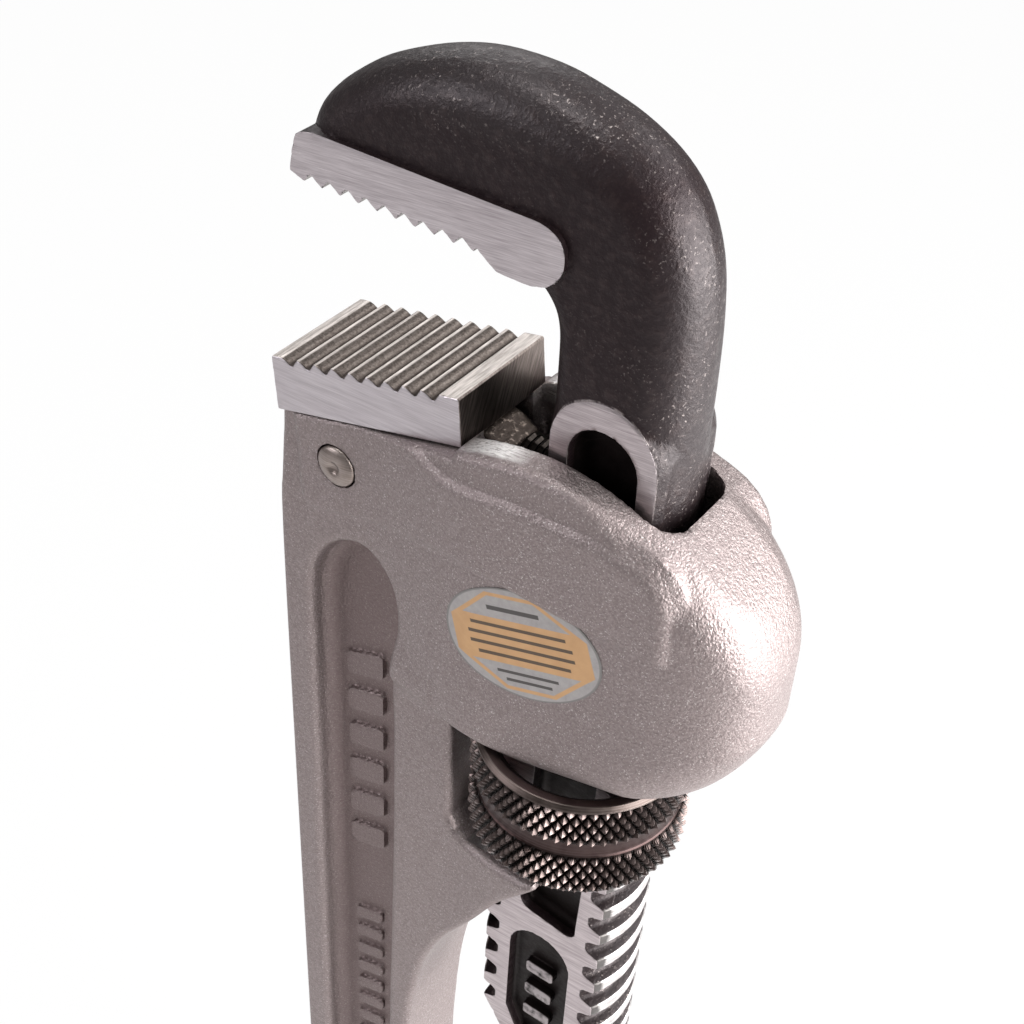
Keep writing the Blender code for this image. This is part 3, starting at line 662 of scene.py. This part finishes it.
def make_hook(materials):
    """The hook jaw; its tooth flanks and its pockets have materials of their own."""
    axes = [ticks(-16.0, (48.0, HOOK_STEP)), ticks(-8.4, (8.4, HOOK_STEP)),
            ticks(-150.6, (35.6, HOOK_STEP))]
    points, quads = contour(hook_field(), axes)
    x, y, z = points[quads].mean(axis=1).T
    side = np.abs(y)
    _, _, pad, _, pocket, pill = hook_outlines()
    which = np.zeros(len(x), dtype=int)
    which[(pad(x, z) < 0.08) & (side <= PAD_HALF - 0.1) & (z < 13.5)] = 1
    hollow = np.minimum(pocket(x, z), pill(x, z))
    radius = np.hypot(x - AXIS_X, y)
    which[(hollow < 0.12) & (side < FLAT_HALF - 0.06) & (z < -4.0) & (radius < 10.5)] = 2
    return piece("hook_forging", points, quads, materials, which, sharp=32.0)


# ---- nut

def knurl_height(i, row):
    """Height of the knurl from 0 in a valley to 1 on a point, on the mesh's own grid."""
    one = np.abs(np.mod((i + row) / KNURL_CUTS, 1.0) - 0.5) * 2
    two = np.abs(np.mod((i - row) / KNURL_CUTS, 1.0) - 0.5) * 2
    return np.minimum(np.minimum(one, two) * 1.08, 1.0)


def make_nut(materials):
    """Two knurled bands of four-sided points, a smooth groove between them and turned ends."""
    steps = KNURLS * KNURL_CUTS
    drop = KNURL_LEAD / KNURL_CUTS

    def band(top, bottom):
        """Knurled rows, which have no radius of their own."""
        spread = range(math.ceil(-top / drop), int(-bottom / drop) + 1)
        return [(None, -k * drop, 2) for k in spread]

    rows = [(NUT_BORE, -1.2, 0), (NUT_BORE + 1.0, -0.15, 0), (NUT_BORE + 1.2, 0.0, 0),
            (15.6, 0.0, 0), (15.8, -0.06, 1), (16.35, -0.62, 1), (16.4, -0.8, 0)]
    rows += band(-0.95, -7.6)
    rows += [(15.95, -7.95, 0), (15.75, -8.2, 0), (15.7, -8.7, 0), (15.7, -10.1, 0),
             (15.78, -10.6, 0), (15.95, -10.85, 0)]
    rows += band(-11.05, -18.3)
    rows += [(15.9, -18.75, 0), (15.2, -NUT_HEIGHT, 0), (NUT_BORE + 1.2, -NUT_HEIGHT, 0),
             (NUT_BORE, -NUT_HEIGHT + 1.2, 0)]
    i = np.arange(steps)
    angle = i * 2 * math.pi / steps
    points = []
    for r, z, _ in rows:
        if r is None:
            top, bottom = (-0.80, -7.95) if z > -9.0 else (-10.85, -18.6)
            rim = min(top - z, z - bottom, 0.8) / 0.8
            radius = KNURL_ROOT + (0.35 + 0.65 * rim) * knurl_height(i, -z / drop)
        else:
            radius = np.full(steps, r)
        ring = [radius * np.cos(angle), radius * np.sin(angle), np.full(steps, z)]
        points.append(np.stack(ring, axis=1))
    points = np.concatenate(points) + np.array([AXIS_X, 0.0, NUT_TOP])
    faces, which = [], []
    count = len(rows)
    k = (i + 1) % steps
    for j in range(count):
        n = (j + 1) % count
        a, b, c, d = j * steps + i, n * steps + i, n * steps + k, j * steps + k
        row = round(-rows[j][1] / drop)
        valley = np.mod(i - row, KNURL_CUTS) == KNURL_CUTS // 2
        for split, other in (((a, b, c), (a, b, d)), ((a, c, d), (b, c, d))):
            split, other = np.stack(split, axis=1), np.stack(other, axis=1)
            faces.append(np.where(valley[:, None], split, other))
        kind = 2 if 2 in (rows[j][2], rows[n][2]) else max(rows[j][2], rows[n][2])
        which.append(np.full(2 * steps, kind))
    faces, which = np.concatenate(faces), np.concatenate(which)
    return piece("knurled_nut", points, faces, materials, which, sharp=24.0)


# ---- label

def make_label(material):
    """Thin oval film that follows the side of the housing."""
    rings = 14
    steps = 96
    major, minor = LABEL_RADII
    c, s = math.cos(LABEL_TILT), math.sin(LABEL_TILT)
    points = []
    for top in (0.0, 1.0):
        for j in range(rings + 1):
            share = j / rings
            lift = 0.03 + 0.10 * top * (1.0 if j < rings else 0.6)
            for i in range(steps):
                a = 2 * math.pi * i / steps
                u, v = major * share * math.cos(a), minor * share * math.sin(a)
                x = LABEL_CENTRE[0] + u * c - v * s
                z = LABEL_CENTRE[1] + u * s + v * c
                half = plan_half(x) + float(belly(x, z))
                points.append((x, -half - lift, z))
    under = ring_quads(rings + 1, steps)
    layer = (rings + 1) * steps
    i = rings * steps + np.arange(steps)
    k = rings * steps + (np.arange(steps) + 1) % steps
    rim = np.stack([i, k, layer + k, layer + i], axis=1)
    faces = np.concatenate([under[:, ::-1], under + layer, rim])
    return piece("oval_label", np.array(points), faces, [material], sharp=60.0)


def plan_half(x):
    """Half thickness of the housing along x, its round back included."""
    if x <= BLOCK_TURN:
        return float(block_half(x))
    t = min((x - BLOCK_TURN) / (BLOCK_REAR - BLOCK_TURN), 1.0)
    return BLOCK_HALF * rear_taper(t)


# ---- materials

class Shader:
    """Short names for the nodes of one procedural material."""

    def __init__(self, name):
        self.material = bpy.data.materials.new(name)
        self.material.use_nodes = True
        self.tree = self.material.node_tree
        self.base = self.tree.nodes["Principled BSDF"]
        self.place = self.node("ShaderNodeTexCoord").outputs["Object"]

    def fill(self, node, sockets):
        """Links or sets each named input of a node."""
        for key, value in sockets.items():
            if hasattr(value, "is_output"):
                self.tree.links.new(value, node.inputs[key])
            else:
                node.inputs[key].default_value = value
        return node

    def node(self, kind, sockets=None, **settings):
        made = self.tree.nodes.new(kind)
        for key, value in settings.items():
            setattr(made, key, value)
        return self.fill(made, sockets or {})

    def stretch(self, scale, turn=(0.0, 0.0, 0.0)):
        """Object coordinates turned, then scaled, per metre."""
        turned = self.node("ShaderNodeMapping", {"Rotation": turn, "Vector": self.place})
        sockets = {"Scale": scale, "Vector": turned.outputs[0]}
        return self.node("ShaderNodeMapping", sockets).outputs[0]

    def noise(self, vector, scale=1.0, detail=2.0, rough=0.5):
        sockets = {"Vector": vector, "Scale": scale, "Detail": detail, "Roughness": rough}
        return self.node("ShaderNodeTexNoise", sockets).outputs["Fac"]

    def math(self, operation, a, b=0.0, clamp=False):
        sockets = {0: a, 1: b}
        made = self.node("ShaderNodeMath", sockets, operation=operation, use_clamp=clamp)
        return made.outputs[0]

    def times(self, a, b, clamp=False):
        return self.math("MULTIPLY", a, b, clamp)

    def plus(self, a, b):
        return self.math("ADD", a, b)

    def minus(self, a, b):
        return self.math("SUBTRACT", a, b)

    def larger(self, a, b, clamp=False):
        return self.math("MAXIMUM", a, b, clamp)

    def absolute(self, a):
        return self.math("ABSOLUTE", a)

    def length(self, a, b):
        """Length of the plane vector (a, b)."""
        return self.math("SQRT", self.plus(self.times(a, a), self.times(b, b)))

    def axis_radius(self, x, y):
        """Distance in metres from the axis of the thread and the nut."""
        return self.length(self.minus(x, AXIS_X * MM), y)

    def range(self, value, low, high, to_low=0.0, to_high=1.0):
        """Linear and clamped, from low..high to to_low..to_high."""
        sockets = {"Value": value, "From Min": low, "From Max": high}
        sockets.update({"To Min": to_low, "To Max": to_high})
        return self.node("ShaderNodeMapRange", sockets).outputs[0]

    def mix(self, share, a, b):
        """Colour a where share is 0, colour b where it is 1."""
        a, b = (c if hasattr(c, "is_output") else (*c, 1.0) for c in (a, b))
        made = self.node("ShaderNodeMix", {}, data_type="RGBA")
        return self.fill(made, {0: share, 6: a, 7: b}).outputs[2]

    def bump(self, height, strength, distance, under=None):
        sockets = {"Strength": strength, "Distance": distance, "Height": height}
        if under is not None:
            sockets["Normal"] = under
        return self.node("ShaderNodeBump", sockets).outputs[0]

    def axes(self):
        return self.node("ShaderNodeSeparateXYZ", {0: self.place}).outputs

    def finish(self, colour, roughness, metallic, normal=None, specular=0.5):
        sockets = {"Base Color": colour, "Roughness": roughness, "Metallic": metallic,
                   "Specular IOR Level": specular}
        if normal is not None:
            sockets["Normal"] = normal
        self.fill(self.base, sockets)
        return self.material


def cast_aluminium():
    """Cast grain, painted shade in the handle's hollow, and a belt-sanded strip behind the heel
    jaw.
    """
    s = Shader("cast_aluminium_grain")
    grain = s.noise(s.place, 2500.0, 2.0, 0.55)
    coarse = s.noise(s.place, 900.0, 3.0, 0.6)
    blotch = s.noise(s.place, 60.0, 3.0, 0.55)
    spark = s.range(s.noise(s.place, 4200.0, 1.0), 0.62, 0.74)
    colour = s.mix(blotch, (0.205, 0.166, 0.164), (0.250, 0.208, 0.205))
    colour = s.mix(s.range(grain, 0.38, 0.66, 0.0, 0.55), colour, (0.355, 0.305, 0.298))
    colour = s.mix(s.times(spark, 0.5), colour, (0.78, 0.74, 0.72))
    x, y, z = s.axes()
    # Painted shade: the web deep in the handle's hollow is coloured a dark brown.
    painted_hollow_shade = s.times(s.range(s.absolute(y), 0.0072, 0.0046), s.range(x, 0.006, 0.004))
    painted_hollow_shade = s.times(painted_hollow_shade, s.range(z, -0.040, -0.046), clamp=True)
    colour = s.mix(s.times(painted_hollow_shade, 0.55), colour, (0.125, 0.080, 0.076))
    near = s.times(s.range(x, 0.0165, 0.0190), s.range(x, 0.0275, 0.0235))
    near = s.times(near, s.range(z, -0.0185, -0.0165))
    near = s.times(near, s.range(s.absolute(y), 0.0118, 0.0110))
    lines = s.noise(s.stretch((160.0, 3600.0, 3600.0)), 1.0, 3.0, 0.6)
    near = s.times(near, s.range(lines, 0.30, 0.50), clamp=True)
    colour = s.mix(near, colour, (0.88, 0.86, 0.85))
    roughness = s.range(blotch, 0.3, 0.7, 0.42, 0.52)
    normal = s.bump(coarse, 0.60, 0.00022)
    normal = s.bump(grain, 0.85, 0.00018, normal)
    return s.finish(colour, roughness, 0.80, normal)


def brush_lines(s, turn, fine):
    """Brush marks along the turned X axis, as one noise of fine and broad lines."""
    lines = s.noise(s.stretch((220.0, fine, fine), turn), 1.0, 3.0, 0.6)
    broad = s.noise(s.stretch((60.0, fine * 0.2, fine * 0.2), turn), 1.0, 2.0)
    return s.plus(s.times(lines, 0.66), s.times(broad, 0.34))


def brushed(name, dark, light, turn, fine, low=0.28, high=0.44):
    """Ground steel with straight brush lines along the turned X axis."""
    s = Shader(name)
    mixed = brush_lines(s, turn, fine)
    blotch = s.noise(s.place, 110.0, 3.0, 0.6)
    colour = s.mix(s.range(mixed, 0.36, 0.64), dark, light)
    colour = s.mix(s.range(blotch, 0.60, 0.82, 0.0, 0.25), colour, tuple(0.62 * v for v in dark))
    roughness = s.range(mixed, 0.3, 0.7, high, low)
    return s.finish(colour, roughness, 1.0, s.bump(mixed, 0.22, 0.00005))


def hook_steel():
    """Black scale, with bare brushed steel on the ground flats and the thread's crests."""
    s = Shader("forged_and_ground_hook")
    x, y, z = s.axes()
    side = s.absolute(y)
    fine = s.noise(s.place, 2300.0, 3.0, 0.6)
    dent = s.noise(s.place, 760.0, 3.0, 0.6)
    wave = s.noise(s.place, 90.0, 3.0, 0.5)
    black = s.mix(wave, (0.0125, 0.0066, 0.0080), (0.0200, 0.0115, 0.0130))
    black = s.mix(s.range(dent, 0.48, 0.78, 0.0, 0.5), black, (0.050, 0.034, 0.033))
    # Painted glints: bright specks over the black scale, faint everywhere and strongest along the
    # lit back and top of the hook.
    spark = s.times(s.range(fine, 0.60, 0.74), s.range(wave, 0.36, 0.62))
    edge = s.larger(s.range(x, 0.036, 0.044), s.range(z, 0.024, 0.031))
    spark = s.times(spark, s.plus(s.times(edge, 0.75), 0.10))
    black = s.mix(spark, black, (0.46, 0.40, 0.38))
    shank = s.range(z, -0.0006, -0.0016)
    # Painted highlight: a lighter ragged line along the rim of the raised ground boss on the shank.
    rim = s.times(s.times(s.range(side, 0.00698, 0.00704), shank), s.range(dent, 0.38, 0.58))
    rim = s.times(rim, s.range(z, -0.036, -0.030, 0.0, 0.7))
    black = s.mix(rim, black, (0.33, 0.29, 0.285))
    lines = brush_lines(s, (0.0, 0.10, 0.0), 6200.0)
    shift = s.range(lines, 0.36, 0.64)
    flat = s.mix(shift, (0.335, 0.290, 0.300), (0.560, 0.505, 0.515))
    pad = s.mix(shift, (0.385, 0.345, 0.360), (0.590, 0.545, 0.560))
    low = s.range(z, 0.0, 0.004)
    ground = s.mix(low, flat, pad)
    is_flat = s.times(s.range(side, 0.00708, 0.00716), shank)
    is_flat = s.larger(is_flat, s.range(side, 0.00748, 0.00756), clamp=True)
    radius = s.axis_radius(x, y)
    crest = s.times(s.range(radius, 0.01262, 0.01272), s.range(z, -0.0375, -0.0385))
    around = s.noise(s.stretch((500.0, 500.0, 3800.0)), 1.0, 3.0, 0.6)
    bare = s.mix(s.range(around, 0.35, 0.65), (0.40, 0.375, 0.375), (0.78, 0.76, 0.755))
    patch = s.mix(dent, (0.075, 0.070, 0.068), (0.17, 0.16, 0.155))
    ragged = s.plus(side, s.times(dent, 0.0008))
    bare = s.mix(s.range(ragged, 0.0060, 0.0065), bare, patch)
    colour = s.mix(crest, black, bare)
    colour = s.mix(is_flat, colour, ground)
    metal = s.larger(is_flat, crest, clamp=True)
    rough_black = s.range(dent, 0.3, 0.7, 0.50, 0.34)
    rough_metal = s.range(lines, 0.3, 0.7, 0.42, 0.26)
    roughness = s.plus(s.times(rough_black, s.minus(1.0, metal)), s.times(rough_metal, metal))
    scale = s.minus(1.0, s.times(metal, 0.93))
    height = s.plus(s.times(dent, 0.75), s.times(fine, 0.25))
    height = s.plus(s.times(height, scale), s.times(lines, 0.06))
    normal = s.bump(height, 0.75, 0.00030)
    shine = s.larger(s.range(x, 0.0385, 0.0440), s.range(z, 0.0255, 0.0310))
    specular = s.plus(0.30, s.times(shine, 0.48))
    return s.finish(colour, roughness, s.plus(0.45, s.times(metal, 0.55)), normal, specular)


def heel_steel():
    """Ground sides and lands, brown milled tooth grooves with painted shade at their bottoms, and a
    milled rear face darkened by a painted reflection of the hook's black shank.
    """
    s = Shader("heel_jaw_ground_and_milled")
    x, y, z = s.axes()
    slope = math.tan(HEEL_TILT)
    lines = brush_lines(s, (0.0, 0.06, 0.0), 6800.0)
    side = s.mix(s.range(lines, 0.36, 0.64), (0.430, 0.395, 0.415), (0.560, 0.525, 0.545))
    grain = s.noise(s.place, 2600.0, 3.0, 0.6)
    land_lines = s.noise(s.stretch((2600.0, 260.0, 2600.0)), 1.0, 3.0, 0.6)
    land = s.mix(s.range(land_lines, 0.34, 0.66), (0.30, 0.27, 0.25), (0.58, 0.53, 0.50))
    top = s.minus(z, s.times(x, slope))
    top = s.minus(top, (HEEL_FRONT[1] - HEEL_FRONT[0] * slope) * MM)
    brown = s.mix(s.range(grain, 0.34, 0.66), (0.085, 0.068, 0.060), (0.200, 0.172, 0.155))
    # Painted shade: the brown grooves turn darker towards their bottoms.
    brown = s.mix(s.range(top, -0.00045, -0.00105), brown, (0.045, 0.035, 0.031))
    inner = s.range(s.absolute(y), (HEEL_HALF - 0.04) * MM, (HEEL_HALF - 0.10) * MM)
    groove = s.times(s.range(top, -0.00005, -0.00011), s.range(x, 0.0133, 0.0131))
    surface = s.mix(groove, land, brown)
    rear_lines = s.noise(s.stretch((900.0, 3000.0, 200.0), (0.5, 0.0, 0.0)), 1.0, 3.0, 0.6)
    # Painted reflection of the hook's black shank: the milled rear face is coloured dark.
    rear = s.mix(s.range(rear_lines, 0.34, 0.68), (0.080, 0.064, 0.058), (0.210, 0.178, 0.162))
    back = s.plus(x, s.times(z, 0.105))
    surface = s.mix(s.range(back, 0.01405, 0.01415), surface, rear)
    colour = s.mix(inner, side, surface)
    height = s.plus(s.times(lines, 0.3), s.times(grain, s.times(inner, 0.7)))
    normal = s.bump(height, 0.35, 0.00009)
    return s.finish(colour, s.range(lines, 0.3, 0.7, 0.44, 0.30), 0.95, normal)


def painted_shade_hollow():
    """Scale in the shank's pockets darkened by painted shade, with raised bars rubbed bright."""
    s = Shader("dark_hollow_scale")
    dent = s.noise(s.place, 620.0, 3.0, 0.6)
    _, y, _ = s.axes()
    scratch = s.noise(s.stretch((60.0, 900.0, 1500.0), (0.0, 0.5, 0.0)), 1.0, 2.0)
    # Painted shade: the pocket floors are coloured darker than the black scale outside them.
    colour = s.mix(dent, (0.0065, 0.0045, 0.0045), (0.0160, 0.0110, 0.0105))
    colour = s.mix(s.range(scratch, 0.70, 0.78, 0.0, 0.15), colour, (0.10, 0.09, 0.085))
    worn = s.times(s.range(s.absolute(y), 0.00655, 0.00668), s.range(dent, 0.30, 0.55))
    colour = s.mix(s.times(worn, 0.85), colour, (0.42, 0.38, 0.385))
    roughness = s.range(dent, 0.3, 0.7, 0.34, 0.52)
    return s.finish(colour, roughness, 0.5, s.bump(dent, 0.5, 0.00020), 0.15)


def rough_brown(name):
    """Forged lump with brown scale and bright worn bumps."""
    s = Shader(name)
    dent = s.noise(s.place, 1300.0, 4.0, 0.62)
    wave = s.noise(s.place, 240.0, 3.0, 0.5)
    colour = s.mix(wave, (0.034, 0.025, 0.021), (0.085, 0.066, 0.056))
    colour = s.mix(s.range(dent, 0.56, 0.72), colour, (0.33, 0.27, 0.23))
    normal = s.bump(wave, 0.5, 0.0005)
    normal = s.bump(dent, 0.8, 0.00022, normal)
    return s.finish(colour, s.range(dent, 0.3, 0.7, 0.50, 0.34), 0.8, normal)


def turned_steel(name, dark, light, shine):
    """Browned steel with fine turning lines."""
    s = Shader(name)
    patch = s.noise(s.place, 320.0, 3.0, 0.6)
    lines = s.noise(s.stretch((30.0, 30.0, 6500.0)), 1.0, 3.0, 0.6)
    colour = s.mix(s.range(patch, 0.3, 0.7), dark, light)
    colour = s.mix(s.range(lines, 0.45, 0.75, 0.0, 0.5), colour, shine)
    normal = s.bump(lines, 0.30, 0.00006)
    return s.finish(colour, s.range(patch, 0.3, 0.7, 0.28, 0.42), 0.95, normal)


def knurl_steel():
    """Browned steel whose knurl is worn bright on its points, with painted shade making its valleys
    black.
    """
    s = Shader("nut_knurl")
    x, y, _ = s.axes()
    radius = s.axis_radius(x, y)
    fine = s.noise(s.place, 2600.0, 3.0, 0.6)
    patch = s.noise(s.place, 300.0, 3.0, 0.6)
    worn = s.mix(s.range(patch, 0.3, 0.7), (0.080, 0.056, 0.051), (0.250, 0.200, 0.190))
    height = s.plus(radius, s.times(fine, 0.0002))
    # Painted shade: the knurl turns near black in its valleys, below the points.
    colour = s.mix(s.range(height, 0.01625, 0.01675), (0.0085, 0.0055, 0.0050), worn)
    normal = s.bump(fine, 0.35, 0.00005)
    return s.finish(colour, s.range(fine, 0.3, 0.7, 0.22, 0.36), 0.95, normal)


def label_film():
    """Oval label: clear edge, tan border and middle band on silver film, plain printed rules."""
    s = Shader("oval_label_film")
    x, _, z = s.axes()
    x = s.minus(x, LABEL_CENTRE[0] * MM)
    z = s.minus(z, LABEL_CENTRE[1] * MM)
    c, sn = math.cos(LABEL_TILT), math.sin(LABEL_TILT)
    u = s.plus(s.times(x, c), s.times(z, sn))
    v = s.minus(s.times(z, c), s.times(x, sn))
    nu = s.math("DIVIDE", u, LABEL_RADII[0] * MM)
    nv = s.math("DIVIDE", v, LABEL_RADII[1] * MM)
    reach = s.length(nu, nv)
    au, av = s.absolute(nu), s.absolute(nv)
    corner = s.times(s.plus(au, av), 0.78)
    eight = s.larger(s.larger(s.times(au, 1.06), s.times(av, 1.06)), corner)
    within = s.range(eight, 0.945, 0.93)
    grain = s.noise(s.place, 900.0, 3.0, 0.6)
    silver = s.mix(grain, (0.26, 0.245, 0.245), (0.44, 0.42, 0.41))
    tan = s.mix(s.noise(s.place, 500.0, 2.0), (0.47, 0.27, 0.125), (0.60, 0.365, 0.18))
    border = s.times(s.range(eight, 0.86, 0.875), within)
    band = s.range(av, 0.42, 0.41)
    colour = s.mix(s.times(s.larger(border, band), within), silver, tan)
    rules = 0.0
    for centre, half, length in LABEL_RULES:
        away = s.absolute(s.minus(nv, centre))
        rule = s.times(s.range(away, half, half * 0.8), s.range(au, length, length - 0.01))
        rules = s.larger(rules, rule)
    colour = s.mix(s.times(rules, 0.88), colour, (0.035, 0.030, 0.028))
    edge = s.times(s.range(reach, 0.965, 0.98), 0.7)
    colour = s.mix(edge, colour, (0.13, 0.125, 0.12))
    roughness = s.range(grain, 0.3, 0.7, 0.34, 0.46)
    return s.finish(colour, roughness, 0.35, s.bump(grain, 0.25, 0.00008))


def stage_white():
    """Matt floor that the camera sees as nearly plain white."""
    s = Shader("floor_white")
    s.finish((0.66, 0.65, 0.65, 1.0), 0.9, 0.0)
    seen = s.node("ShaderNodeLightPath").outputs["Is Camera Ray"]
    glow = s.node("ShaderNodeEmission", {"Color": (1.0, 1.0, 1.0, 1.0), "Strength": 1.0})
    sockets = {0: s.times(seen, FLOOR_GLOW), 1: s.base.outputs[0], 2: glow.outputs[0]}
    mixed = s.node("ShaderNodeMixShader", sockets)
    s.fill(s.tree.nodes["Material Output"], {"Surface": mixed.outputs[0]})
    return s.material


# ---- stage

def make_stage(floor_z):
    """A plain floor just under the end of the handle."""
    mesh = bpy.data.meshes.new("floor")
    turns = ((-1, -1), (1, -1), (1, 1), (-1, 1))
    corners = [(u * FLOOR_HALF, v * FLOOR_HALF, floor_z) for u, v in turns]
    mesh.from_pydata(corners, [], [(0, 1, 2, 3)])
    mesh.materials.append(stage_white())
    floor = placed("floor", mesh)


def area_light(name, place, size, watts, colour):
    data = bpy.data.lights.new(name, "AREA")
    data.shape = "RECTANGLE"
    data.size, data.size_y = size
    data.energy = watts
    data.color = colour
    lamp = placed(name, data)
    lamp.location = place
    aim = Vector(LIGHT_TARGET) - Vector(place)
    lamp.rotation_euler = aim.to_track_quat("-Z", "Y").to_euler()


def make_world():
    """Even light from all round, seen by the camera as white."""
    world = bpy.data.worlds.new("studio")
    bpy.context.scene.world = world
    world.use_nodes = True
    nodes, links = world.node_tree.nodes, world.node_tree.links
    shade = nodes["Background"]
    shade.inputs["Color"].default_value = (1.0, 0.99, 0.985, 1.0)
    path = nodes.new("ShaderNodeLightPath")
    strength = nodes.new("ShaderNodeMapRange")
    strength.inputs["To Min"].default_value = AMBIENT
    strength.inputs["To Max"].default_value = 1.0
    links.new(path.outputs["Is Camera Ray"], strength.inputs["Value"])
    links.new(strength.outputs[0], shade.inputs["Strength"])


def make_camera():
    """The photo's camera, solved from the parts whose sizes are known."""
    azimuth, elevation, roll = (math.radians(angle) for angle in CAMERA_ANGLES)
    level = math.cos(elevation)
    back = Vector((math.sin(azimuth) * level, -math.cos(azimuth) * level, math.sin(elevation)))
    side = Vector((math.cos(azimuth), math.sin(azimuth), 0.0))
    above = back.cross(side)
    right = side * math.cos(roll) + above * math.sin(roll)
    up = above * math.cos(roll) - side * math.sin(roll)
    data = bpy.data.cameras.new("camera")
    data.lens = CAMERA_LENS
    data.sensor_width = 36.0
    data.clip_start = 0.01
    camera = placed("camera", data)
    turn = Matrix((right, up, back)).transposed().to_4x4()
    camera.matrix_world = Matrix.Translation(CAMERA_PLACE) @ turn
    bpy.context.scene.camera = camera


def dress(node, material):
    """Gives a carried-over CAD node its procedural material."""
    for slot in node.material_slots:
        slot.link = "OBJECT"
        slot.material = material


def main():
    quarter = math.pi / 2
    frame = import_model()
    cad_box = [list(corner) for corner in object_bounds()]

    casting = make_casting([cast_aluminium()])
    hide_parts("handle_housing")
    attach(casting, "frame")

    heel = make_heel([heel_steel(), rough_brown("heel_tang_scale")])
    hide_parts("heel_jaw")
    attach(heel, "frame")

    pin = make_pin(turned_steel(
        "peened_pin_steel", (0.17, 0.135, 0.12), (0.34, 0.29, 0.265), (0.55, 0.50, 0.47)))
    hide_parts("heel_jaw_pin")
    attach(pin, "frame")

    tooth = brushed(
        "tooth_steel", (0.10, 0.085, 0.08), (0.30, 0.28, 0.27), (0.0, 0.0, quarter), 3000.0)
    hook = make_hook([hook_steel(), tooth, painted_shade_hollow()])
    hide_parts("hook_jaw")
    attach(hook, "jaw")

    nut = make_nut([
        turned_steel(
            "nut_turned_ring", (0.030, 0.017, 0.016), (0.060, 0.040, 0.038), (0.125, 0.092, 0.090)),
        turned_steel(
            "nut_chamfer", (0.060, 0.045, 0.040), (0.115, 0.090, 0.082), (0.24, 0.205, 0.19)),
        knurl_steel(),
    ])
    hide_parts("nut")
    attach(nut, "nut")

    label = make_label(label_film())
    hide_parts("label")
    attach(label, "frame")

    nodes = frame["nodes"]
    straight = (0.0, 0.0, 0.0)
    wire = brushed(
        "spring_wire", (0.012, 0.010, 0.009), (0.045, 0.038, 0.034), straight, 2600.0, 0.34, 0.50)
    leaf = brushed(
        "blued_leaf", (0.05, 0.05, 0.06), (0.13, 0.13, 0.15), (0.0, quarter, 0.0), 3600.0)
    rivet = brushed("rivet_head", (0.26, 0.25, 0.24), (0.44, 0.42, 0.41), straight, 1400.0)
    dress(nodes["coil_spring"], wire)
    dress(nodes["flat_spring"], leaf)
    dress(nodes["spring_rivet"], rivet)

    make_camera()
    make_stage(cad_box[0][2] - FLOOR_GAP)
    for light in LIGHTS:
        area_light(*light)
    make_world()
    bpy.context.scene.view_settings.view_transform = "Standard"


main()
